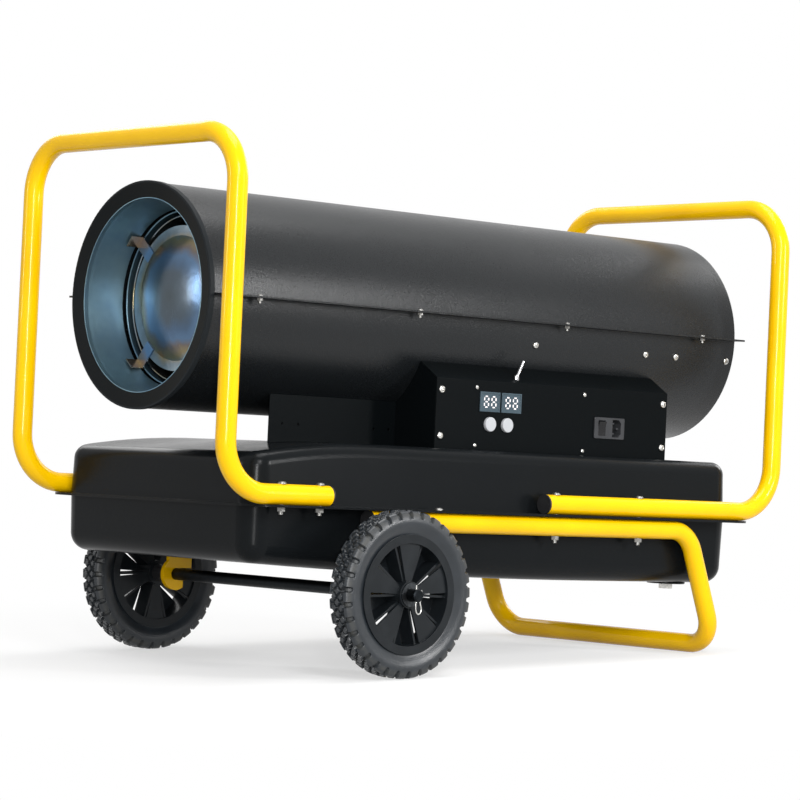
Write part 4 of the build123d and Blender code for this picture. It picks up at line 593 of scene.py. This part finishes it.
def pan_head(radius, rise, shank, length, recess):
    """Mesh of a domed screw head with a cross recess, its seat at Z = 0 and its shank below."""
    dome = [(0, rise)] + [(radius * share, rise * (1 - drop)) for share, drop in HEAD_DOME]
    dome += [(shank, 0), (shank, -length), (0, -length)]
    head = mesh_object("head", *spun(dome, HEAD_STEPS))
    half, arm = radius * recess / 2, radius * RECESS_REACH
    corners = []
    for sign_x, sign_y in ((1, 1), (-1, 1), (-1, -1), (1, -1)):
        trio = [(arm, half), (half, half), (half, arm)]
        if sign_x != sign_y:
            trio.reverse()
        corners += [(sign_x * x, sign_y * y) for x, y in trio]
    floor, above = rise - rise * RECESS_DEPTH, rise * 1.2
    verts = [(x, y, above) for x, y in corners]
    verts += [(x * RECESS_TAPER, y * RECESS_TAPER, floor) for x, y in corners]
    count = len(corners)
    faces = [list(range(count)), list(range(2 * count - 1, count - 1, -1))]
    faces += [[k, (k + 1) % count, count + (k + 1) % count, count + k] for k in range(count)]
    cutter = mesh_object("cutter", verts, faces)
    cut = head.modifiers.new("recess", "BOOLEAN")
    cut.operation, cut.solver, cut.object = "DIFFERENCE", "EXACT", cutter
    evaluated = head.evaluated_get(bpy.context.evaluated_depsgraph_get())
    mesh = bpy.data.meshes.new_from_object(evaluated)
    shape = ([tuple(v.co) for v in mesh.vertices], [list(p.vertices) for p in mesh.polygons])
    for gone in (head, cutter):
        data = gone.data
        bpy.data.objects.remove(gone)
        bpy.data.meshes.remove(data)
    bpy.data.meshes.remove(mesh)
    return shape


# Points of a node's mesh closer than this many metres are one point
SAME_POINT = 1e-6


def centre(points):
    """Mean of some points."""
    return sum(points, Vector()) / len(points)


def loose_pieces(node):
    """Points of each separate piece of a CAD node, in the row frame, in a steady order."""
    work = bmesh.new()
    work.from_mesh(node.data)
    bmesh.ops.remove_doubles(work, verts=work.verts, dist=SAME_POINT)
    work.verts.ensure_lookup_table()
    seen, pieces = set(), []
    for first in work.verts:
        if first.index in seen:
            continue
        seen.add(first.index)
        queue, points = [first], []
        while queue:
            vertex = queue.pop()
            points.append(node.matrix_world @ vertex.co)
            for edge in vertex.link_edges:
                other = edge.other_vert(vertex)
                if other.index not in seen:
                    seen.add(other.index)
                    queue.append(other)
        pieces.append(points)
    work.free()
    return sorted(pieces, key=lambda points: tuple(round(v, 4) for v in centre(points)))


# Degrees by which each screw's recess is turned from the last one's
RECESS_TURN = 37


def scattered(shape, seats):
    """Points and faces of a shape copied to each seat, a pair of place and outward direction."""
    verts, faces = [], []
    for turn, (place, outward) in enumerate(seats):
        way = Vector(outward).normalized()
        matrix = Matrix.Translation(place) @ way.to_track_quat("Z", "Y").to_matrix().to_4x4()
        matrix = matrix @ Matrix.Rotation(math.radians(RECESS_TURN * turn), 4, "Z")
        start = len(verts)
        verts += [tuple(matrix @ Vector(v)) for v in shape[0]]
        faces += [[start + i for i in face] for face in shape[1]]
    return verts, faces


# Pieces


def paint(context):
    """The colours and the grain that the pieces share."""
    return context.scene.heater_paint


class HEATER_OT_drum(bpy.types.Operator):
    """Finish the drum, its nose ring, guard, pedestal and control box in textured black"""

    bl_idname = "heater.drum"
    bl_label = "Drum"

    def execute(self, context):
        settings = paint(context)
        coat = powder_coat(
            "drum_powder_coat", settings.drum, settings.grain, edge=0.0013, sheen=0.29, gloss=0.28,
            pebbled=1.0)
        for node in ("upper_shell", "lower_shell", "rear_guard"):
            dress(node, coat)
        dark = powder_coat(
            "box_powder_coat", settings.box, settings.grain, edge=0.0014, sheen=0.38, gloss=0.03)
        for node in ("pedestal", "control_box", "control_cover"):
            dress(node, dark)
        # The nose ring is painted with light: the box colour as shade on its face, and the drum colour made
        # paler as a highlight round its side.
        dress("nose_ring", ring_coat_painted_light("ring_powder_coat", settings.box, settings.drum, settings.grain))
        return {"FINISHED"}


class HEATER_OT_burner(bpy.types.Operator):
    """Finish the sheet work of the burner: cone, air guide, chamber, diffuser and head"""

    bl_idname = "heater.burner"
    bl_label = "Burner"

    def execute(self, context):
        steel = paint(context).steel
        dress("outlet_cone", rolled_steel("cone_steel", steel, rough=0.40, tint=0.2))
        sheet = rolled_steel("guide_steel", toned(steel, 0.8), rough=0.32, tint=0.3)
        for node in ("air_guide", "chamber_supports", "burner_head"):
            dress(node, sheet)
        dress("diffuser_disc", heat_tint("disc_heat_tint", rim_radius=0.095))
        dress("combustion_chamber", heat_tint("chamber_heat_tint", rim_radius=0.125))
        dress("diffuser_tabs", heat_tint("tab_heat_tint", rim_radius=0.150, bright=2.2))
        dress("nozzle", plated("nozzle_brass", (0.72, 0.50, 0.20), rough=0.30))
        glaze = moulded("electrode_glaze", (0.78, 0.76, 0.70), rough=0.18, grain=0.002, pale=1.1)
        dress("ignition_electrodes", glaze)
        dress("flame_sensor", moulded("sensor_plastic", (0.020, 0.020, 0.022), rough=0.4))
        return {"FINISHED"}


class HEATER_OT_works(bpy.types.Operator):
    """Finish the motor, fan, pump, pipes and the electrics"""

    bl_idname = "heater.works"
    bl_label = "Works"

    def execute(self, context):
        cast = cast_metal("motor_casting", (0.42, 0.43, 0.45))
        dress("motor_body", cast)
        dress("fuel_pump", cast)
        dress("fan", plated("fan_aluminium", (0.70, 0.71, 0.73), rough=0.36, stain=0.2))
        zinc = plated("bracket_zinc", paint(context).zinc, rough=0.34)
        for node in ("motor_shaft", "motor_bracket", "filler_neck"):
            dress(node, zinc)
        copper = plated("pipe_copper", (0.70, 0.36, 0.22), rough=0.28)
        dress("fuel_pickup", copper)
        dress("fuel_pipes", copper)
        dress("circuit_board", laminate("board_laminate"))
        resin = moulded("transformer_resin", (0.025, 0.025, 0.028), rough=0.5, grain=0.002)
        dress("ignition_transformer", resin)
        return {"FINISHED"}


class HEATER_OT_tank(bpy.types.Operator):
    """Finish the pressed fuel tank with its cap, drain and plug"""

    bl_idname = "heater.tank"
    bl_label = "Fuel tank"

    def execute(self, context):
        settings = paint(context)
        coat = powder_coat(
            "tank_powder_coat", settings.tank, settings.grain * 0.8, edge=0.0017, sheen=0.22, gloss=0.08,
            pebbled=0.25)
        for node in ("tank_upper", "tank_lower", "drain_plate"):
            dress(node, coat)
        dress("fuel_cap", moulded("cap_plastic", (0.016, 0.016, 0.018), rough=0.38, grain=0.0012))
        dress("drain_plug", plated("drain_zinc", settings.zinc, rough=0.36))
        return {"FINISHED"}


class HEATER_OT_tube_frame(bpy.types.Operator):
    """Finish the handles and the leg in yellow enamel, and lay the weld beads at the axle hooks"""

    bl_idname = "heater.tube_frame"
    bl_label = "Tube frame"

    def execute(self, context):
        enamel = enamel_coat("tube_enamel", paint(context).enamel)
        for node in ("front_handle", "rear_handle", "leg_frame"):
            dress(node, enamel)
        dress("tube_plugs", moulded("plug_plastic", (0.014, 0.014, 0.015), rough=0.45))
        self.weld_beads(context, enamel)
        return {"FINISHED"}

    def weld_beads(self, context, enamel):
        """Rippled beads where each hook's plate meets the tube's underside."""
        size = context.scene.heater_details.weld_size
        steps, ripple_size, ripple_turn = 60, 0.45, 1.45
        sway, heave = 0.2, 0.3
        verts, faces = [], []
        for side in (-1, 1):
            for face_y in HOOK_FACES:
                # The bead runs along the crease between the plate's face and the tube
                reach = abs(face_y - LEG_TUBE_SIDE)
                crease = LEG_TUBE_HEIGHT - math.sqrt(TUBE_RADIUS ** 2 - reach ** 2)
                line = []
                for k in range(steps + 1):
                    x = HOOK_START + HOOK_LENGTH * k / steps
                    ripple = ripple_size * math.cos(k * ripple_turn)
                    line.append(level(x, side * (face_y + sway * ripple), crease + heave * ripple))
                part = tube_along(line, size / 2, sides=10)
                faces += [[len(verts) + i for i in face] for face in part[1]]
                verts += part[0]
        beads = mesh_object("hook_weld_beads", verts, faces)
        settle(beads, "chassis", "frame_paint", enamel)


# The tyre, in millimetres. Its section runs from the middle of the crown to the outer bead, each point by how
# far it lies sideways and how far below the crown.
TYRE_RADIUS = 106.0
TREAD_CROWN = 105.9
TYRE_SECTION = (
    ("knobs", [(1.2 * k, 0.0) for k in range(9)] + [(10.6, 0.1)]),
    ("lugs", ((11.4, 0.2), (12.4, 0.4), (13.6, 0.8), (14.8, 1.4), (15.8, 2.2), (16.8, 3.4), (17.6, 4.8),
              (18.2, 6.4), (18.7, 8.0), (19.0, 9.4))),
    ("wall", ((19.15, 10.4), (19.4, 11.8), (19.6, 14.0), (19.4, 16.4), (18.9, 19.0), (18.1, 21.6),
              (17.1, 24.2), (16.1, 26.2), (15.3, 28.4), (14.8, 29.9), (14.8, 31.2), (14.8, 32.7),
              (9.0, 32.7))),
)
# Points round the tyre to each lug, and how many metres sideways a groove runs from one knob to the next
LUG_STEPS = 20
KNOB_SLANT = 0.0135
# Where the slope beside a groove starts and how wide it is: first as shares of the way from one knob or lug
# to the next, then in metres sideways from the middle of the crown
KNOB_SIDE, LUG_SIDE = (0.085, 0.10), (0.11, 0.075)
KNOBS_END, LUGS_START, LUGS_END = (0.0098, 0.0008), (0.0112, 0.0010), (0.0181, 0.0012)
# Depth of the groove round each shoulder as a share of the knobs' height, and in metres how far a lug stands
# out sideways and how far below the grooves' floor a cut may reach
RING_GROOVE = 0.8
LUG_STANDS_OUT, UNDER_FLOOR = 0.0016, 0.006
# A hairpin clip's wire, in millimetres from the axle's end: a straight leg, the eye and the waved leg back
CLIP_ROUTE = (
    (0, 12.5), (0, 6), (0, -4), (0, -12), (0.3, -17), (1.6, -21.0), (4.2, -23.4), (7.2, -22.6), (9.2, -19.4),
    (9.0, -15.0), (7.6, -11.0), (7.2, -8.2), (8.6, -5.0), (10.0, 0.0), (9.2, 5.0), (8.6, 7.0))


class HEATER_OT_wheels(bpy.types.Operator):
    """Model the treaded tyres and hairpin clips, and finish the rims and the axle"""

    bl_idname = "heater.wheels"
    bl_label = "Wheels"

    def execute(self, context):
        settings = context.scene.heater_tyres
        rim = moulded("rim_plastic", settings.rim, rough=0.32, grain=0.0011, pale=1.7, gloss=0.17)
        zinc = plated("washer_zinc", paint(context).zinc, rough=0.3)
        for side, way in SIDES:
            hub = Vector(next(j["pos_m"] for j in frame["joints"] if j["name"] == f"wheel_{side}_spin"))
            rubber = tyre_rubber(f"tyre_rubber_{side}", settings.rubber, hub, TYRE_RADIUS * MM)
            verts, faces = self.tread(settings, way)
            tyre = mesh_object(f"treaded_tyre_{side}", [Vector(v) + hub for v in verts], faces, smooth=38)
            settle(tyre, f"wheel_{side}", "tyre_rubber", rubber, f"tyre_{side}")
            dress(f"wheel_rim_{side}", rim)
        dress("axle", plated("axle_steel", (0.012, 0.014, 0.016), rough=0.45))
        dress("axle_spacers", moulded("spacer_steel", (0.018, 0.018, 0.020), rough=0.4))
        dress("axle_washers", plated("washer_steel", (0.05, 0.054, 0.058), rough=0.38))
        for side, way in SIDES:
            self.clip(settings, side, way, zinc)
        return {"FINISHED"}

    def tread(self, settings, way):
        """Tyre section turned about Y, with diamond knobs on the crown and lugs over both shoulders."""
        depth, lugs, knobs = settings.tread_depth, settings.lug_count, settings.knob_count
        crown = TREAD_CROWN * MM
        deepest = crown - depth - UNDER_FLOOR
        half = [(y * MM, crown - drop * MM, zone) for zone, part in TYRE_SECTION for y, drop in part]
        section = [(-y, radius, zone) for y, radius, zone in reversed(half[1:])] + half
        steps = lugs * LUG_STEPS
        verts, faces = [], []

        def ramp(value, start, width):
            """0 before start and 1 from start + width on, with a soft slope between."""
            share = min(1.0, max(0.0, (value - start) / width))
            return share * share * (3 - 2 * share)

        def to_edge(value):
            """Distance from a whole number."""
            part = value - math.floor(value)
            return min(part, 1 - part)

        for k in range(steps):
            angle = math.tau * k / steps
            for y, radius, zone in section:
                cut, inset = 0.0, 0.0
                if zone == "knobs":
                    # Diamond knobs between two families of slanting grooves
                    turn = angle / math.tau * knobs
                    edge = min(to_edge(turn + y / KNOB_SLANT), to_edge(turn - y / KNOB_SLANT))
                    cut = depth * (1 - ramp(edge, *KNOB_SIDE))
                    # A groove between the knobs and the shoulder lugs
                    cut = max(cut, depth * RING_GROOVE * ramp(abs(y), *KNOBS_END))
                elif zone == "lugs":
                    # Lugs across the shoulder, staggered from side to side
                    edge = to_edge(angle / math.tau * lugs + (0.5 if y > 0 else 0.0))
                    groove = (1 - ramp(edge, *LUG_SIDE)) * (1 - ramp(abs(y), *LUGS_END))
                    cut = max(depth * groove, depth * RING_GROOVE * (1 - ramp(abs(y), *LUGS_START)))
                    inset = LUG_STANDS_OUT * groove
                reach = radius - cut
                if zone != "knobs":
                    reach = max(reach, min(radius, deepest))
                side = y - math.copysign(inset, y) if y else 0.0
                verts.append((reach * math.cos(angle), side * way, reach * math.sin(angle)))
        count = len(section)
        for k in range(steps):
            n = (k + 1) % steps
            for i in range(count):
                j = (i + 1) % count
                faces.append([k * count + i, k * count + j, n * count + j, n * count + i])
        return verts, faces

    def clip(self, settings, side, way, zinc):
        """Hairpin clip through the axle's end, with its eye below and its waved leg beside it."""
        path = [level(AXLE_X + dx, way * CLIP_SIDE, AXLE_HEIGHT + dz) for dx, dz in CLIP_ROUTE]
        wire = tube_along(smooth_line(path, 6), settings.clip_wire / 2, sides=12)
        piece = mesh_object(f"hairpin_wire_{side}", *wire)
        settle(piece, "chassis", "zinc_steel", zinc, f"hairpin_clip_{side}")


class HEATER_OT_controls(bpy.types.Operator):
    """Finish the displays, buttons, power inlet, rocker and thermostat probe"""

    bl_idname = "heater.controls"
    bl_label = "Controls"

    def execute(self, context):
        settings = context.scene.heater_details
        dress("displays", moulded("display_frame", settings.window, rough=0.22, grain=0.002, pale=1.2))
        dress("display_digits", display_glow("display_segments", settings.digits))
        button = moulded("button_plastic", settings.buttons, rough=0.24, grain=0.0015, pale=1.05)
        dress("button_left", button)
        dress("button_right", button)
        inlet = moulded("inlet_plastic", (0.028, 0.029, 0.032), rough=0.32, grain=0.0012, pale=1.5)
        dress("power_inlet", inlet)
        rocker = moulded("rocker_plastic", (0.006, 0.006, 0.007), rough=0.25, grain=0.0012, pale=1.5)
        dress("rocker_switch", rocker)
        dress("thermostat_probe", plated("probe_metal", (0.34, 0.34, 0.35), rough=0.25))
        return {"FINISHED"}


# The piece and the node that it stands for, then its head's radius and height and its shank's radius, in
# millimetres
SCREWS = (
    ("shell_screw_heads", "shell_screws", 5.0, 3.0, 2.5),
    ("seam_screw_heads", "seam_screws", 3.8, 2.6, 2.0),
    ("cover_screw_heads", "cover_screws", 5.0, 3.0, 2.5),
    ("board_screw_heads", "board_screws", 2.9, 1.6, 1.5),
    ("frame_bolt_heads", "frame_bolts", 5.6, 3.4, 3.0),
)
UPRIGHT_SCREWS = ("seam_screws", "frame_bolts")
TOP_SLACK = 0.0001


class HEATER_OT_screws(bpy.types.Operator):
    """Model the heads of the screws and bolts, and finish the nuts"""

    bl_idname = "heater.screws"
    bl_label = "Screws"

    def execute(self, context):
        recess = context.scene.heater_details.recess_width
        bright = plated("screw_zinc", paint(context).zinc, rough=0.24)
        dull = plated("dull_zinc", toned(paint(context).zinc, 0.4), rough=0.4)
        for node in ("seam_nuts", "frame_nuts"):
            dress(node, dull)
        for name, node, radius, rise, shank in SCREWS:
            seats = [self.seat(node, points, rise * MM) for points in loose_pieces(frame["nodes"][node])]
            verts, faces = [], []
            for length in sorted({seat[2] for seat in seats}):
                shape = pan_head(radius * MM, rise * MM, shank * MM, length, recess)
                part = scattered(shape, [seat[:2] for seat in seats if seat[2] == length])
                faces += [[len(verts) + i for i in face] for face in part[1]]
                verts += part[0]
            zinc = dull if node in UPRIGHT_SCREWS else bright
            settle(mesh_object(name, verts, faces), "chassis", "zinc_steel", zinc, node)
        return {"FINISHED"}

    def seat(self, node, points, rise):
        """Where one screw's head sits, its outward direction and its shank's length below the seat."""
        if node == "shell_screws":
            away = centre(points) - level(0, 0, AXIS_HEIGHT)
            way = (away - DRUM_LINE * away.dot(DRUM_LINE)).normalized()
        else:
            way = UP if node in UPRIGHT_SCREWS else Vector((0, -1, 0))
        reach = [point.dot(way) for point in points]
        top = centre([point for point, r in zip(points, reach) if r > max(reach) - TOP_SLACK])
        return top - way * rise, way, round(max(reach) - min(reach) - rise, 4)


# Stage


FLOOR_SIZE = 30.0
# Share of plain white on the floor at the heater, and the distances between which it grows to the whole
WHITE_NEAR = 0.55
FLOOR_FADE = (0.35, 1.15)
LAMP_TARGET = Vector((0, 0, 0.33))
# Each lamp's place and size in metres, and the setting that holds its power
LAMPS = (
    ("key_lamp", (-1.7, -3.3, 2.3), (1.0, 1.4), "key"),
    ("top_lamp", (0.2, -0.4, 3.0), (2.4, 1.2), "top"),
    ("fill_lamp", (1.2, -2.6, 1.02), (0.32, 0.9), "fill"),
    ("mouth_lamp", (-2.9, 1.45, 0.95), (0.3, 0.6), "mouth"),
    ("strip_lamp", (-3.05, -3.75, 0.82), (0.2, 1.5), "strip"),
    ("back_lamp", (0.5, 3.0, 2.5), (1.8, 1.4), "back"),
    ("rear_lamp", (3.2, 0.3, 1.7), (1.2, 1.2), "back"),
)
# The camera's place in metres, and its yaw, pitch and roll in degrees
CAMERA_PLACE = Vector((-2.8458, -3.1840, 0.3579))
CAMERA_TURN = (41.491, -0.113, 0.971)


class HEATER_OT_stage(bpy.types.Operator):
    """Lay the pale floor, set the soft lamps and the world, and place the camera"""

    bl_idname = "heater.stage"
    bl_label = "Stage"

    def execute(self, context):
        settings = context.scene.heater_stage
        self.floor(settings)
        self.world(context, settings)
        self.lamps(context, settings)
        self.camera(context, settings)
        context.scene.view_settings.view_transform = "Standard"
        return {"FINISHED"}

    def floor(self, settings):
        """Pale floor that keeps the heater's soft shadow and fades into the background."""
        half = FLOOR_SIZE / 2
        corners = [(-half, -half, 0), (half, -half, 0), (half, half, 0), (-half, half, 0)]
        sheet = mesh_object("studio_floor", corners, [[0, 1, 2, 3]])
        finish = Finish("floor_paper", Roughness=0.9, Specular_IOR_Level=0.1)
        pale = tuple(settings.floor)
        rays = finish.seen_rays()
        paper = finish.mix(finish.noise(0.02, 2.0, 0.5) * 0.15, pale, toned(pale, 0.96))
        finish.feed("Base Color", finish.mix(rays, toned(pale, settings.bounce), paper))
        # The floor is partly plain white to those rays, and wholly so away from the heater
        far = finish.spread(finish.vector("LENGTH", finish.place(), out="Value"), *FLOOR_FADE) * rays
        share = WHITE_NEAR * rays + far * (1 - WHITE_NEAR)
        glow = finish.node("ShaderNodeEmission", None, {"Color": (1, 1, 1), "Strength": 1.0})
        lit = Shade(finish, finish.shader.outputs[0])
        mixed = finish.node("ShaderNodeMixShader", None, {0: share, 1: lit, 2: glow})
        output = next(n for n in finish.tree.nodes if n.type == "OUTPUT_MATERIAL")
        finish.tree.links.new(mixed.socket, output.inputs["Surface"])
        sheet.data.materials.append(finish.material)

    def world(self, context, settings):
        """Even soft light, seen by the camera and in reflections as plain white."""
        world = bpy.data.worlds.new("studio_world")
        context.scene.world = world
        world.use_nodes = True
        world.node_tree.nodes.clear()
        nodes = Nodes(world.node_tree)
        soft = nodes.node("ShaderNodeBackground", None, {"Color": (1, 1, 1), "Strength": settings.world})
        plain = nodes.node("ShaderNodeBackground", None, {"Color": (1, 1, 1), "Strength": 1.0})
        mixed = nodes.node("ShaderNodeMixShader", None, {0: nodes.seen_rays(), 1: soft, 2: plain})
        nodes.node("ShaderNodeOutputWorld", None, {"Surface": mixed})

    def lamps(self, context, settings):
        for name, place, size, power in LAMPS:
            data = bpy.data.lights.new(name, "AREA")
            data.shape = "RECTANGLE"
            data.size, data.size_y = size
            data.energy = getattr(settings, power)
            lamp = bpy.data.objects.new(name, data)
            lamp.location = place
            lamp.rotation_euler = (LAMP_TARGET - Vector(place)).to_track_quat("-Z", "Y").to_euler()
            context.scene.collection.objects.link(lamp)

    def camera(self, context, settings):
        """The photograph's view: from the front left, nearly level, at the control box's height."""
        yaw, pitch, roll = (math.radians(angle) for angle in CAMERA_TURN)
        ahead = Vector((math.sin(yaw) * math.cos(pitch), math.cos(yaw) * math.cos(pitch), math.sin(pitch)))
        right = Vector((math.cos(yaw), -math.sin(yaw), 0))
        upward = right.cross(ahead)
        turned_right = right * math.cos(roll) + upward * math.sin(roll)
        turned_up = upward * math.cos(roll) - right * math.sin(roll)
        data = bpy.data.cameras.new("studio_camera")
        data.lens = settings.lens
        data.sensor_width = 36
        data.clip_end = 100
        camera = bpy.data.objects.new("studio_camera", data)
        matrix = Matrix((turned_right, turned_up, -ahead)).transposed().to_4x4()
        camera.matrix_world = Matrix.Translation(CAMERA_PLACE) @ matrix
        context.scene.collection.objects.link(camera)
        context.scene.camera = camera


class HEATER_PT_panel(bpy.types.Panel):
    """Sidebar panel with the heater's settings and steps"""

    bl_label = "Forced air heater"
    bl_idname = "HEATER_PT_panel"
    bl_space_type = "VIEW_3D"
    bl_region_type = "UI"
    bl_category = "Heater"

    def draw(self, context):
        scene = context.scene
        for settings in (scene.heater_paint, scene.heater_tyres, scene.heater_details, scene.heater_stage):
            box = self.layout.box()
            for name in settings.bl_rna.properties.keys():
                if name not in ("rna_type", "name"):
                    box.prop(settings, name)
        for step in STEPS:
            self.layout.operator(step.bl_idname)


GROUPS = {
    "heater_paint": HeaterPaintSettings,
    "heater_tyres": HeaterTyreSettings,
    "heater_details": HeaterDetailSettings,
    "heater_stage": HeaterStageSettings,
}
STEPS = (
    HEATER_OT_stage, HEATER_OT_drum, HEATER_OT_burner, HEATER_OT_works, HEATER_OT_tank,
    HEATER_OT_tube_frame, HEATER_OT_wheels, HEATER_OT_controls, HEATER_OT_screws,
)


def register():
    for group in GROUPS.values():
        bpy.utils.register_class(group)
    for step in STEPS:
        bpy.utils.register_class(step)
    bpy.utils.register_class(HEATER_PT_panel)
    for name, group in GROUPS.items():
        setattr(bpy.types.Scene, name, PointerProperty(type=group))


def unregister():
    for name in GROUPS:
        delattr(bpy.types.Scene, name)
    bpy.utils.unregister_class(HEATER_PT_panel)
    for step in reversed(STEPS):
        bpy.utils.unregister_class(step)
    for group in reversed(list(GROUPS.values())):
        bpy.utils.unregister_class(group)


def main():
    register()
    for step in STEPS:
        family, name = step.bl_idname.split(".")
        getattr(getattr(bpy.ops, family), name)()


if __name__ == "__main__":
    main()
